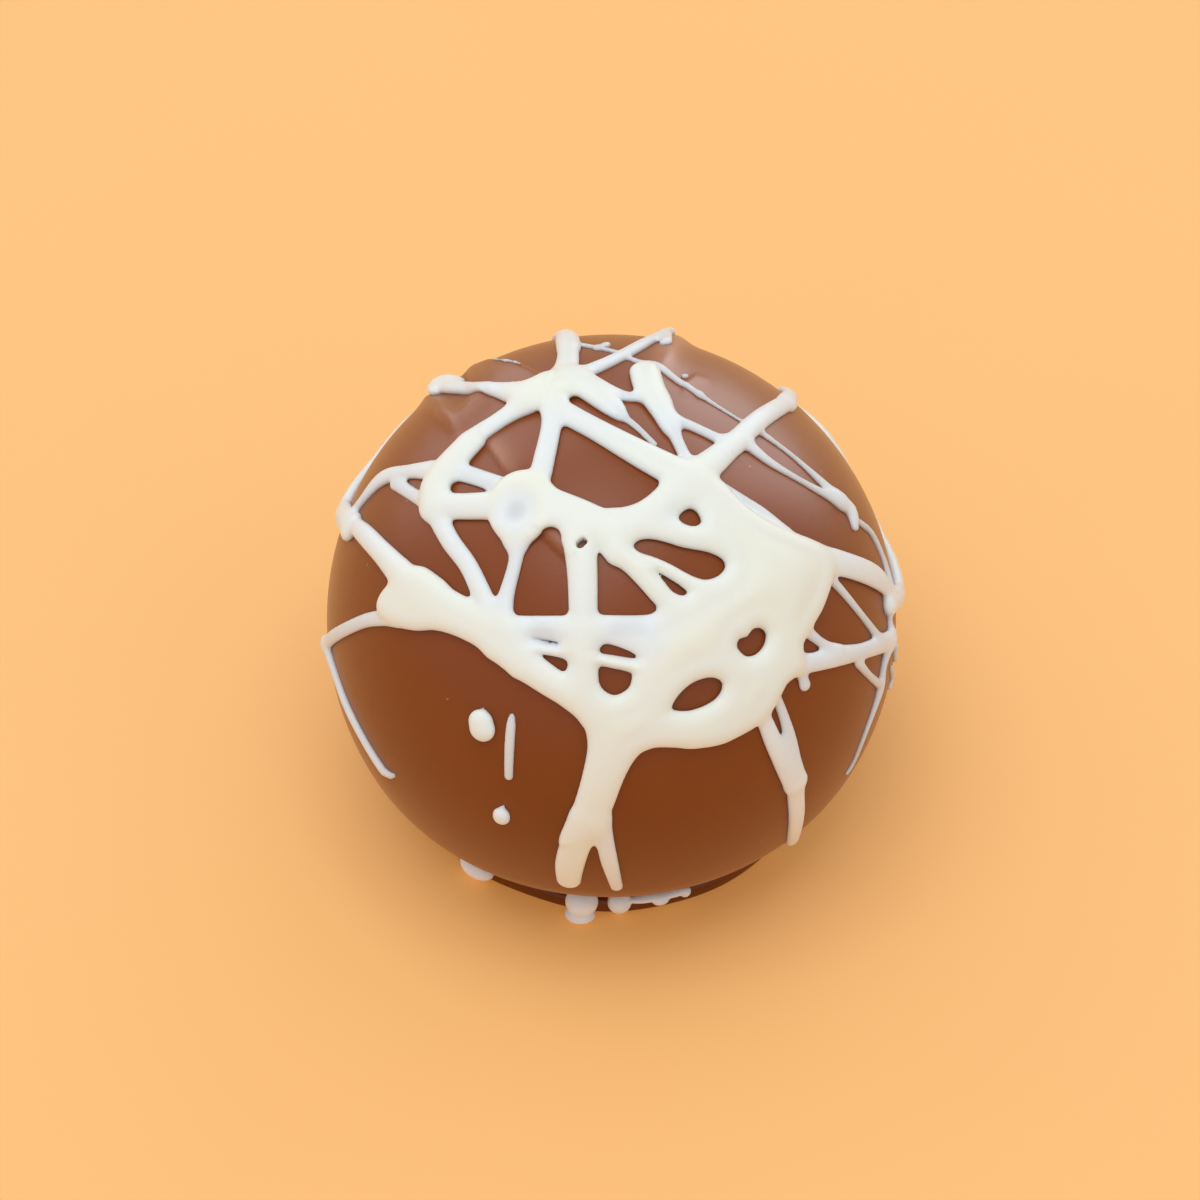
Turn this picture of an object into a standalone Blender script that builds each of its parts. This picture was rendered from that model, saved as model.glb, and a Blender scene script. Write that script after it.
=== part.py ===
"""A chocolate truffle: an enrobed ball on its foot, with white chocolate drizzled over it.

Units are metres and +Z is up. The origin is the middle of the foot's flat underside, the
front of the truffle is -Y. The whole sweet is one solid: the coat, its foot, every strand
of the drizzle and the drops that ran down onto the foot are fused together.

The drizzle is drawn on a flat card that stands in the middle of the ball, tilted back so
that it faces the front from POUR_ELEVATION above the table, and each strand is thrown
from the card onto the coat. Card places and widths are in millimetres, x to the right and
y up. Beyond the ball's outline the card carries on round the back of the coat.
"""

import math

import bmesh
import bpy
from mathutils import Vector

MM = 0.001

# Driving dimensions of the coat and its foot
BALL_RADIUS = 16.0 * MM
BALL_MIDDLE = 12.5 * MM  # height of the ball's middle above the table
SAG_START = math.radians(-20.0)  # below this latitude the ball rounds in more tightly
SAG_RADIUS = 8.0 * MM
SAG_END = math.radians(-62.0)
NECK_RADIUS = 10.55 * MM
NECK_HEIGHT = 1.6 * MM
FOOT_RADIUS = 11.3 * MM
FOOT_HEIGHT = 0.95 * MM
FOOT_ROUNDING = 0.3 * MM
FOOT_LOBES = ((2, 0.20 * MM, 0.0), (5, 0.07 * MM, 1.1), (9, 0.05 * MM, 2.3))  # count, swing, turn
COAT_STEPS = 42
COAT_ARC_POINTS = 15
SAG_ARC_POINTS = 5

# Broad dents and swells of the coat: azimuth, latitude, spread (degrees), height
COAT_SWELLS = (
    (20.0, 30.0, 34.0, -0.16 * MM),
    (-132.0, -22.0, 30.0, 0.10 * MM),
    (150.0, 35.0, 26.0, 0.10 * MM),
    (95.0, 10.0, 30.0, -0.10 * MM),
    (55.0, -5.0, 24.0, 0.10 * MM),
)

# The card that the drizzle is drawn on
POUR_ELEVATION = math.radians(50.0)
POUR_REACH = 450.0 * MM  # from the card to where every strand is thrown from
CARD_MIDDLE = Vector((0.0, 0.0, 13.0 * MM))

# How the white chocolate sits on the coat
CAP_LIMIT = 1.15 * MM  # the widest pools stand no prouder than this
CAP_SLOPE = 0.56  # height over width of the thinnest strands
HOLE_LIFT = 0.45 * MM  # a pool hole's cutter floats this far over the coat
RING_PITCH = 0.9 * MM  # spacing of a strand's rings, and what each width adds to it
RING_PITCH_PER_WIDTH = 0.6
FLATS_LOSS = 0.07 * MM  # a tube's flat sides lie at most this far inside its round
TUBE_RESOLUTION = (1, 6)  # fewest and most
KEPT_FACES = 0.88
TIP_STEPS = ((0.6, 0.8), (0.95, 0.25))  # how far past an end, and how thick

# Strands on the card: x, y and width at each knot, in millimetres
CROWN = (
    ((-2.7, 13.5, 1.5), (-2.5, 14.4, 1.25), (-2.5, 15.5, 1.25)),
    ((-9.9, 12.4, 0.6), (-9.5, 12.9, 1.15), (-8.0, 12.75, 0.72), (-6.3, 12.5, 1.0), (-4.6, 12.1, 2.0)),
    ((-4.9, 12.0, 1.6), (-3.4, 12.55, 2.5), (-2.3, 13.2, 2.0)),
    ((-4.8, 11.8, 1.5), (-6.4, 10.9, 1.15), (-8.1, 9.5, 1.7), (-9.9, 7.5, 1.9), (-10.1, 6.2, 1.9)),
    ((-3.3, 11.8, 1.4), (-3.45, 10.6, 1.15), (-3.8, 9.0, 1.2), (-4.1, 7.8, 1.3), (-4.6, 6.9, 1.8)),
    ((-3.2, 11.6, 1.4), (-1.0, 10.45, 1.35), (1.5, 9.05, 1.65), (4.4, 7.5, 2.0)),
    ((-2.3, 13.3, 1.6), (-0.9, 12.4, 1.6), (0.0, 11.7, 1.3), (0.45, 11.3, 0.8)),
    ((0.3, 11.4, 0.5), (1.3, 10.7, 0.4), (2.4, 9.65, 0.35)),
    ((-1.4, 13.3, 0.8), (0.0, 12.6, 0.75), (1.0, 12.3, 0.65), (2.1, 12.4, 0.8)),
    ((1.85, 13.55, 1.7), (2.1, 12.7, 1.75), (2.6, 11.9, 1.6), (3.3, 10.6, 1.0)),
    ((3.3, 10.7, 0.9), (3.85, 9.5, 0.68), (4.5, 8.1, 0.9)),
    ((3.1, 11.1, 0.9), (4.5, 10.65, 0.62), (6.0, 9.95, 0.65), (6.9, 9.6, 0.9)),
    ((-1.9, 13.5, 1.0), (0.0, 14.35, 0.82), (2.0, 15.38, 0.78), (3.2, 15.78, 0.7)),
    ((-2.5, 15.4, 0.35), (0.0, 14.95, 0.3), (1.4, 14.35, 0.35), (2.6, 13.9, 0.45), (5.0, 12.45, 0.36)),
    ((5.0, 12.45, 0.36), (6.2, 11.68, 0.3)),
    ((10.0, 12.0, 1.0), (8.4, 11.0, 1.15), (6.7, 9.45, 1.3), (4.9, 7.9, 1.8), (4.3, 7.4, 2.0)),
    ((8.2, 10.5, 0.4), (10.0, 9.2, 0.3), (11.5, 7.87, 0.45), (12.9, 6.45, 0.8)),
    ((7.6, 9.7, 0.8), (9.0, 8.6, 0.5), (11.0, 7.42, 0.38), (12.9, 6.35, 0.7)),
    ((12.7, 6.6, 0.8), (13.5, 5.85, 0.95), (13.8, 4.95, 0.55)),
)
LEFT_SIDE = (
    ((-10.3, 8.1, 1.2), (-11.5, 8.05, 0.85), (-13.0, 7.65, 0.95), (-14.25, 6.35, 0.6))
    + ((-14.9, 5.3, 0.8),),
    ((-12.3, 7.4, 0.8), (-11.4, 6.8, 0.75), (-10.5, 6.3, 0.9)),
    ((-15.2, 5.5, 0.6), (-14.1, 4.55, 1.15), (-12.9, 3.3, 1.35), (-11.4, 1.7, 1.9), (-10.2, 0.8, 2.4)),
    ((-12.05, 0.45, 2.3), (-10.4, 0.2, 2.5), (-8.6, -0.1, 2.5), (-6.9, -0.8, 2.8), (-5.4, -1.7, 3.0)),
    ((-10.1, 5.9, 1.2), (-9.2, 4.15, 1.1), (-8.1, 2.6, 1.05), (-7.1, 0.4, 1.2)),
    ((-12.2, -0.2, 1.0), (-14.0, -0.42, 0.8), (-15.8, -1.3, 0.8), (-16.2, -1.9, 0.9)),
    ((-16.2, -1.7, 0.9), (-15.85, -3.1, 0.58), (-15.1, -5.2, 0.62), (-14.1, -7.2, 0.6))
    + ((-12.9, -9.05, 0.64),),
)
MIDDLE = (
    ((-9.2, 8.15, 1.2), (-8.0, 7.83, 1.0), (-6.1, 7.2, 1.1)),
    ((-10.0, 6.1, 1.5), (-8.5, 6.05, 1.55), (-6.2, 6.1, 2.2)),
    ((-5.1, 6.35, 3.7), (-5.15, 5.7, 3.6), (-5.3, 4.9, 2.3), (-5.4, 4.2, 1.7)),
    ((-5.4, 4.2, 1.2), (-5.5, 3.0, 0.8), (-6.0, 1.1, 0.9), (-6.3, -0.2, 1.4)),
    ((-4.4, 6.3, 2.8), (-2.0, 5.5, 2.0), (-0.5, 4.9, 2.0), (1.0, 5.1, 1.7), (2.5, 5.8, 1.8))
    + ((4.4, 7.4, 2.0),),
    ((-1.9, 4.8, 1.9), (-1.7, 2.4, 1.65), (-1.65, 0.0, 1.55), (-1.65, -3.0, 1.5), (-2.0, -4.4, 1.8)),
    ((-0.5, 4.4, 2.2), (0.95, 3.1, 1.25), (2.0, 2.0, 1.2), (3.0, 1.0, 1.2), (3.8, 0.1, 1.8)),
    ((2.1, 2.8, 0.9), (3.4, 2.25, 0.7), (4.8, 1.6, 0.9)),
    ((2.0, 5.3, 1.3), (4.5, 4.35, 1.3), (6.6, 4.3, 1.8)),
    ((-5.9, -0.5, 1.6), (-4.0, -0.8, 1.35), (-1.6, -0.85, 1.5), (0.8, -0.93, 1.6), (3.0, -0.7, 2.4)),
    ((-4.9, -1.7, 0.6), (-3.2, -2.05, 0.5), (-2.2, -2.2, 0.6)),
    ((-1.2, -2.6, 0.55), (0.0, -2.72, 0.55), (1.7, -3.05, 0.7)),
    ((-5.6, -2.2, 2.4), (-4.2, -3.3, 1.8), (-3.0, -4.15, 1.7), (-1.2, -5.4, 2.2), (0.0, -6.4, 2.8)),
    ((0.0, -5.8, 2.4), (0.0, -7.6, 2.9), (-0.45, -9.0, 2.4), (-1.1, -11.0, 2.1), (-1.5, -12.0, 2.0)),
)
POOL = (
    ((4.4, 7.4, 2.2), (5.8, 6.0, 2.8), (7.5, 4.3, 3.8), (9.3, 2.5, 5.5), (8.8, 0.2, 4.8)),
    ((3.4, 0.2, 2.0), (5.6, 0.3, 3.0), (7.6, 0.6, 3.6)),
    ((2.6, -1.4, 2.6), (4.6, -1.1, 4.4), (6.8, -1.0, 4.8), (9.0, -1.2, 4.2)),
    ((9.1, -0.6, 4.0), (8.7, -2.4, 4.0), (8.0, -4.2, 3.7)),
    ((8.2, -4.0, 3.4), (7.0, -5.6, 2.6), (5.4, -6.4, 2.1), (3.4, -6.6, 2.0), (1.2, -6.4, 2.6)),
    ((2.5, -2.0, 2.3), (2.15, -4.0, 2.3), (1.2, -6.0, 2.6)),
    ((3.2, -2.8, 2.2), (5.5, -2.6, 2.6), (7.2, -3.2, 2.4)),
    ((6.9, -3.2, 2.0), (7.3, -5.0, 2.4)),
)
POOL_HOLES = (
    ((4.2, -4.8, 1.65), (5.35, -4.15, 1.75)),
    ((7.55, -1.85, 1.15), (8.15, -1.45, 1.2)),
)
RIGHT_SIDE = (
    ((6.5, 7.1, 0.5), (7.6, 6.35, 0.6), (8.5, 5.65, 0.8), (9.8, 4.6, 0.8)),
    ((13.9, 5.3, 0.4), (14.75, 4.6, 0.4), (15.45, 3.1, 0.4), (15.8, 1.6, 0.6)),
    ((11.0, 3.1, 1.9), (13.0, 2.8, 1.5), (15.0, 2.0, 1.4), (15.8, 0.9, 0.9), (15.8, -0.3, 0.5))
    + ((15.9, -1.3, 0.9),),
    ((12.2, 2.2, 0.6), (13.1, 1.25, 0.5), (14.4, -0.35, 0.44), (15.3, -1.6, 0.6)),
    ((10.8, -0.8, 0.8), (11.8, -1.6, 0.55), (12.7, -2.2, 0.8)),
    ((10.0, -2.8, 1.5), (11.2, -2.8, 1.1), (12.6, -2.45, 1.2), (14.2, -2.15, 0.95), (15.8, -1.5, 1.2)),
    ((10.7, -2.9, 0.9), (10.88, -4.15, 0.74)),
    ((14.0, -2.8, 0.6), (14.6, -3.5, 0.45), (15.15, -4.0, 0.5)),
    ((15.7, -1.7, 0.9), (15.45, -3.0, 0.5), (15.25, -4.2, 0.62), (14.9, -5.5, 0.42))
    + ((13.9, -8.2, 0.3), (13.4, -9.1, 0.28)),
    ((16.1, -1.9, 0.5), (16.1, -2.6, 0.4)),
    ((15.9, -3.1, 0.3), (15.95, -3.6, 0.4), (15.8, -4.2, 0.35)),
)
FRONT_RUNS = (
    ((-1.4, -11.6, 1.9), (-2.05, -13.0, 1.7), (-2.35, -14.2, 1.6), (-2.4, -15.6, 1.2), (-1.8, -18.6, 1.3)),
    ((-0.9, -11.6, 1.6), (-0.42, -13.0, 1.05), (-0.2, -14.1, 0.95), (0.15, -16.0, 0.75), (0.4, -18.4, 0.9)),
    ((8.0, -5.2, 1.8), (8.8, -6.5, 1.3), (9.5, -7.4, 1.5)),
    ((9.3, -4.8, 0.7), (9.8, -6.0, 0.95), (10.0, -7.3, 1.2)),
    ((9.6, -7.2, 1.8), (10.1, -9.0, 1.5), (10.35, -9.6, 1.55), (10.3, -10.4, 1.15))
    + ((10.5, -12.0, 0.95), (10.2, -13.2, 0.8)),
    ((-5.78, -6.1, 0.5), (-5.85, -7.4, 0.55), (-5.9, -9.2, 0.5)),
    ((-7.42, -6.15, 1.45), (-7.35, -6.5, 1.5)),
    ((-6.28, -11.45, 0.98), (-6.28, -11.55, 0.98)),
)

# Strands on the far side weave across it or run down it. Places past the ball's outline
# are in millimetres, clock angles on the card in degrees.
BACK_WAVES = (
    (6.2, 0.8, 1.3, 3.0, -0.3, 3.0, 161.0),  # past, swing, width, waves, ends past, clock range
    (10.8, 1.2, 1.6, 2.5, 10.8, 18.0, 152.0),
    (15.5, 1.1, 1.1, 3.5, 15.5, 25.0, 140.0),
)
BACK_WAVE_KNOTS = 12
BACK_RUNS = (
    (51.0, -0.3, 11.0, 1.0),  # clock angle, start and end past the outline, width
    (79.0, -0.3, 14.0, 0.7),
    (99.0, -0.5, 17.0, 1.25),
    (159.0, -0.4, 12.5, 0.8),
    (12.0, 6.0, 13.0, 0.8),
    (30.0, 6.5, 17.5, 0.9),
    (66.0, 6.0, 20.0, 1.4),
    (115.0, 6.5, 19.5, 1.4),
    (136.0, 6.0, 16.0, 1.0),
)

# Drops on the foot: place, radii along the rim, outwards and upwards, in millimetres
FOOT_DROPS = (
    ((-1.7, -11.1, 0.98), (0.93, 0.93, 0.92)),
    ((-1.75, -11.12, 0.28), (0.98, 0.9, 0.24)),
    ((0.42, -10.95, 0.75), (0.68, 0.68, 0.7)),
    ((-7.6, -8.35, 0.68), (1.15, 0.72, 0.62)),
    ((2.6, -10.6, 0.78), (1.75, 0.38, 0.34)),
    ((4.6, 10.1, 0.6), (1.2, 0.8, 0.55)),
    ((-6.5, 8.9, 0.55), (0.9, 0.7, 0.5)),
)


def coat_radius(direction):
    """Distance from the ball's middle to the coat along a unit vector."""
    latitude = math.asin(max(-1.0, min(1.0, direction.z)))
    radius = BALL_RADIUS
    if latitude < SAG_START:
        offset = BALL_RADIUS - SAG_RADIUS
        turn = latitude - SAG_START
        reach = SAG_RADIUS ** 2 - (offset * math.sin(turn)) ** 2
        radius = offset * math.cos(turn) + math.sqrt(max(reach, 0.0))
    for azimuth, height, spread, swell in COAT_SWELLS:
        towards = on_sphere(math.radians(azimuth), math.radians(height))
        angle = math.degrees(math.acos(max(-1.0, min(1.0, direction.dot(towards)))))
        radius += swell * math.exp(-((angle / spread) ** 2))
    return radius


def on_sphere(azimuth, latitude):
    """Unit vector at an azimuth round +Z and a latitude."""
    level = math.cos(latitude)
    return Vector((level * math.cos(azimuth), level * math.sin(azimuth), math.sin(latitude)))


def card_to_coat(x, y):
    """Unit vector from the ball's middle to the coat under the card place x, y (metres)."""
    right = Vector((1.0, 0.0, 0.0))
    up = Vector((0.0, math.sin(POUR_ELEVATION), math.cos(POUR_ELEVATION)))
    towards = Vector((0.0, -math.cos(POUR_ELEVATION), math.sin(POUR_ELEVATION)))
    ball = Vector((0.0, 0.0, BALL_MIDDLE))
    eye = CARD_MIDDLE + towards * POUR_REACH
    ray = (CARD_MIDDLE + right * x + up * y - eye).normalized()
    along = (ball - eye).dot(ray)
    nearest = eye + ray * along - ball
    radius = BALL_RADIUS
    for _ in range(3):
        inside = radius ** 2 - nearest.length_squared
        if inside <= 0.0:
            break
        direction = (nearest - ray * math.sqrt(inside)).normalized()
        radius = coat_radius(direction)
    if inside > 0.0:
        return direction
    past = (nearest.length - radius) / radius
    sideways = nearest.normalized()
    return (sideways * math.cos(past) + ray * math.sin(past)).normalized()


def cap_height(width):
    """How proud of the coat a strand of this width stands."""
    return CAP_LIMIT * (1.0 - math.exp(-CAP_SLOPE * width / CAP_LIMIT))


def smooth_path(knots):
    """Evenly spaced x, y, width points on a smooth curve through the knots."""
    ends = [knots[0]] + list(knots) + [knots[-1]]
    path = []
    for before, start, stop, after in zip(ends, ends[1:], ends[2:], ends[3:]):
        pitch = RING_PITCH / MM + RING_PITCH_PER_WIDTH * (start[2] + stop[2]) / 2
        pieces = max(1, round(math.dist(start[:2], stop[:2]) / pitch))
        for piece in range(pieces):
            t = piece / pieces
            point = []
            for a, b, c, d in zip(before, start, stop, after):
                bend = (c - a) * t + (2 * a - 5 * b + 4 * c - d) * t ** 2
                bend += (3 * b - a - 3 * c + d) * t ** 3
                point.append((b + bend / 2) * MM)
            path.append(point)
    path.append([value * MM for value in knots[-1]])
    return path


def hole_rings(knots):
    """Centres and radii of a cutter that floats over the coat, so that it cuts only the pool."""
    rings = []
    for x, y, width in smooth_path(knots):
        direction = card_to_coat(x, y)
        centre = Vector((0.0, 0.0, BALL_MIDDLE)) + direction * (coat_radius(direction) + HOLE_LIFT)
        rings.append((centre, math.hypot(width / 2, HOLE_LIFT)))
    return rounded_end(rings[::-1])[::-1] + rounded_end(rings)[len(rings):]


def strand_rings(knots):
    """Centres and radii of a strand that lies sunk in the coat, with rounded ends."""
    rings = []
    for x, y, width in smooth_path(knots):
        direction = card_to_coat(x, y)
        height = cap_height(width)
        radius = (width ** 2 / 4 + height ** 2) / (2 * height)
        centre = Vector((0.0, 0.0, BALL_MIDDLE)) + direction * (coat_radius(direction) + height - radius)
        rings.append((centre, radius))
    return rounded_end(rings[::-1])[::-1] + rounded_end(rings)[len(rings):]


def rounded_end(rings):
    """The rings with a dome added after the last one."""
    last, radius = rings[-1]
    outward = (last - rings[-2][0]).normalized()
    dome = [(last + outward * radius * far, radius * thick) for far, thick in TIP_STEPS]
    return rings + dome


def tube(name, rings, collection):
    """A closed mesh tube through the rings, added to the collection."""
    data = bpy.data.curves.new(name, "CURVE")
    data.dimensions = "3D"
    data.bevel_depth = MM
    thickest = max(radius for _, radius in rings)
    corners = math.pi / math.acos(max(0.0, 1.0 - FLATS_LOSS / thickest))
    fewest, most = TUBE_RESOLUTION
    data.bevel_resolution = min(most, max(fewest, round(corners / 2 - 2)))
    data.use_fill_caps = True
    sides = 4 + 2 * data.bevel_resolution
    flats = (1.0 + math.cos(math.pi / sides)) / 2  # mean radius of the sides over their corners
    spline = data.splines.new("POLY")
    spline.points.add(len(rings) - 1)
    for point, (centre, radius) in zip(spline.points, rings):
        point.co = (*centre, 1.0)
        point.radius = radius / (flats * MM)
    guide = bpy.data.objects.new(name + "_guide", data)
    bpy.context.scene.collection.objects.link(guide)
    mesh = evaluated_mesh(guide)
    weld(mesh)
    bpy.data.objects.remove(guide)
    piece = bpy.data.objects.new(name, mesh)
    collection.objects.link(piece)
    return piece


def evaluated_mesh(thing):
    """A mesh of the object with its modifiers or bevel worked out."""
    bpy.context.view_layer.update()
    graph = bpy.context.evaluated_depsgraph_get()
    return bpy.data.meshes.new_from_object(thing.evaluated_get(graph))


def weld(mesh):
    """Join the loose caps of a tube to its wall."""
    shape = bmesh.new()
    shape.from_mesh(mesh)
    bmesh.ops.remove_doubles(shape, verts=shape.verts, dist=1e-7)
    bmesh.ops.recalc_face_normals(shape, faces=shape.faces)
    shape.to_mesh(mesh)
    shape.free()


def back_wave(past, swing, width, waves, ends_past, start, stop):
    """Knots of a strand that weaves across the far side from right to left."""
    knots = []
    for step in range(BACK_WAVE_KNOTS + 1):
        share = step / BACK_WAVE_KNOTS
        phase = 2 * math.pi * waves * share
        fade = math.sin(math.pi * share) ** 0.3
        beyond = ends_past + (past - ends_past) * fade + swing * fade * math.sin(phase)
        thick = width * (1.0 + 0.22 * math.sin(1.7 * phase + past))
        knots.append(card_place(math.radians(start + (stop - start) * share), beyond) + (thick,))
    return knots


def back_run(clock, start, stop, width):
    """Knots of a run that hangs down the far side and ends in a bead."""
    middle = (start + stop) / 2
    swerve = 2.2
    return [
        card_place(math.radians(clock), start) + (width,),
        card_place(math.radians(clock + swerve), middle) + (width * 0.8,),
        card_place(math.radians(clock - swerve), stop) + (width,),
    ]


def card_place(clock, past):
    """Card x, y in millimetres at a clock angle, so far past the ball's outline."""
    outline = BALL_RADIUS / MM + past
    drop = (CARD_MIDDLE.z - BALL_MIDDLE) * math.cos(POUR_ELEVATION) / MM
    return outline * math.cos(clock), outline * math.sin(clock) - drop


def build_coat(material):
    """The turned ball on its foot, with the swells of the coat and the foot's lobes."""
    profile = []
    for step in range(COAT_ARC_POINTS + 1):
        angle = math.pi / 2 + (SAG_START - math.pi / 2) * step / COAT_ARC_POINTS
        profile.append((BALL_RADIUS * math.cos(angle), BALL_MIDDLE + BALL_RADIUS * math.sin(angle)))
    offset = BALL_RADIUS - SAG_RADIUS
    for step in range(1, SAG_ARC_POINTS + 1):
        angle = SAG_START + (SAG_END - SAG_START) * step / SAG_ARC_POINTS
        across = offset * math.cos(SAG_START) + SAG_RADIUS * math.cos(angle)
        height = BALL_MIDDLE + offset * math.sin(SAG_START) + SAG_RADIUS * math.sin(angle)
        profile.append((across, height))
    profile += [
        (NECK_RADIUS, NECK_HEIGHT),
        (FOOT_RADIUS - FOOT_ROUNDING, FOOT_HEIGHT),
        (FOOT_RADIUS, FOOT_HEIGHT - FOOT_ROUNDING),
        (FOOT_RADIUS, FOOT_ROUNDING / 2),
        (FOOT_RADIUS - FOOT_ROUNDING / 2, 0.0),
        (0.0, 0.0),
    ]
    profile[0] = (0.0, profile[0][1])
    outline = bpy.data.meshes.new("coat_profile")
    edges = [(index, index + 1) for index in range(len(profile) - 1)]
    outline.from_pydata([(across, 0.0, height) for across, height in profile], edges, [])
    turned = bpy.data.objects.new("coat_profile", outline)
    bpy.context.scene.collection.objects.link(turned)
    screw = turned.modifiers.new("turn", "SCREW")
    screw.steps = screw.render_steps = COAT_STEPS
    screw.use_merge_vertices = True
    screw.merge_threshold = 1e-6
    mesh = evaluated_mesh(turned)
    bpy.data.objects.remove(turned)
    for vertex in mesh.vertices:
        vertex.co = uneven(vertex.co)
    coat = bpy.data.objects.new("truffle", mesh)
    mesh.materials.append(material)
    bpy.context.scene.collection.objects.link(coat)
    return coat


def uneven(place):
    """A point of the turned body, moved out to the coat's swells or the foot's lobes."""
    if place.z <= NECK_HEIGHT + MM / 100:
        azimuth = math.atan2(place.y, place.x)
        across = math.hypot(place.x, place.y)
        growth = sum(swing * math.cos(count * azimuth + turn) for count, swing, turn in FOOT_LOBES)
        scale = 1.0 + growth / FOOT_RADIUS if across > 0.0 else 1.0
        return Vector((place.x * scale, place.y * scale, place.z))
    ball = Vector((0.0, 0.0, BALL_MIDDLE))
    direction = (place - ball).normalized()
    latitude = math.asin(direction.z)
    if latitude < SAG_END + math.radians(8.0):
        return place
    return ball + direction * coat_radius(direction)


def add_drop(place, radii, collection):
    """A rounded drop on the foot, long side along the foot's rim."""
    shape = bmesh.new()
    bmesh.ops.create_uvsphere(shape, u_segments=12, v_segments=8, radius=1.0)
    mesh = bpy.data.meshes.new("foot_drop")
    shape.to_mesh(mesh)
    shape.free()
    drop = bpy.data.objects.new("foot_drop", mesh)
    collection.objects.link(drop)
    drop.location = [value * MM for value in place]
    drop.scale = [value * MM for value in radii]
    drop.rotation_euler.z = math.atan2(place[1], place[0]) + math.pi / 2


def build_drizzle(collection):
    """Every strand, run and drop of white chocolate, as closed meshes."""
    shown = CROWN + LEFT_SIDE + MIDDLE + RIGHT_SIDE + FRONT_RUNS
    hidden = [back_wave(*wave) for wave in BACK_WAVES] + [back_run(*run) for run in BACK_RUNS]
    for number, knots in enumerate(list(shown) + hidden):
        tube(f"strand_{number}", strand_rings(knots), collection)
    for place, radii in FOOT_DROPS:
        add_drop(place, radii, collection)
    pool = tube("pool", strand_rings(POOL[0]), collection)
    parts = new_collection("pool_parts")
    for number, knots in enumerate(POOL[1:]):
        tube(f"pool_{number}", strand_rings(knots), parts)
    join(pool, parts, "UNION")
    holes = new_collection("pool_holes")
    for number, knots in enumerate(POOL_HOLES):
        tube(f"hole_{number}", hole_rings(knots), holes)
    join(pool, holes, "DIFFERENCE")


def new_collection(name):
    """An empty collection in the scene."""
    collection = bpy.data.collections.new(name)
    bpy.context.scene.collection.children.link(collection)
    return collection


def join(body, collection, operation):
    """Add the collection's meshes to the body, or cut them from it, and remove them."""
    step = body.modifiers.new("join", "BOOLEAN")
    step.operation = operation
    step.operand_type = "COLLECTION"
    step.collection = collection
    step.solver = "MANIFOLD"
    mesh = evaluated_mesh(body)
    body.modifiers.clear()
    body.data = mesh
    for piece in list(collection.objects):
        bpy.data.objects.remove(piece)
    bpy.data.collections.remove(collection)


def thin_out(body):
    """Collapse the smallest of the faces that the joins left."""
    thinner = body.modifiers.new("thin_out", "DECIMATE")
    thinner.ratio = KEPT_FACES
    mesh = evaluated_mesh(body)
    body.modifiers.clear()
    body.data = mesh


def keep_one_body(mesh):
    """Drop loose scraps and sealed hollows, so that one closed skin is left."""
    shape = bmesh.new()
    shape.from_mesh(mesh)
    bmesh.ops.triangulate(shape, faces=shape.faces)
    unseen = set(shape.faces)
    skins = []
    while unseen:
        edge_of_skin = [unseen.pop()]
        skin = set(edge_of_skin)
        while edge_of_skin:
            face = edge_of_skin.pop()
            for edge in face.edges:
                for other in edge.link_faces:
                    if other in unseen:
                        unseen.discard(other)
                        skin.add(other)
                        edge_of_skin.append(other)
        skins.append(skin)
    skins.sort(key=len)
    for skin in skins[:-1]:
        bmesh.ops.delete(shape, geom=list(skin), context="FACES")
    shape.to_mesh(mesh)
    shape.free()


def chocolate(name, colour, roughness):
    """A satin food material."""
    material = bpy.data.materials.new(name)
    material.use_nodes = True
    shader = material.node_tree.nodes["Principled BSDF"]
    shader.inputs["Base Color"].default_value = (*colour, 1.0)
    shader.inputs["Roughness"].default_value = roughness
    shader.inputs["Metallic"].default_value = 0.0
    material.diffuse_color = (*colour, 1.0)
    return material


def main():
    """Build the truffle."""
    for thing in list(bpy.data.objects):
        bpy.data.objects.remove(thing)
    coat = build_coat(chocolate("milk_chocolate", (0.22, 0.075, 0.025), 0.45))
    drizzle = new_collection("drizzle")
    build_drizzle(drizzle)
    join(coat, drizzle, "UNION")
    keep_one_body(coat.data)
    thin_out(coat)
    coat.data.shade_smooth()
    coat.data.set_sharp_from_angle(angle=math.radians(50.0))
    sweet = new_collection("chocolate_truffle")
    bpy.context.scene.collection.objects.unlink(coat)
    sweet.objects.link(coat)


main()
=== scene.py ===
"""A chocolate truffle dressed for the eye: a milk chocolate coat on its foot, drizzled white.

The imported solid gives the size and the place. Its coat is turned again with fine relief,
and the drizzle is poured again as one smooth body that flows together where strands meet.
Shapes are worked out in millimetres and turned into metres when a mesh is made.

The drizzle is drawn on a flat card that stands in the middle of the ball and leans back to
face the front from above. Places on the card are x to the right and y up, and each one is
thrown onto the coat. Past the ball's outline the card carries on round the far side.
"""

import logging
import math
from collections.abc import Sequence
from dataclasses import dataclass
from enum import Enum

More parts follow.
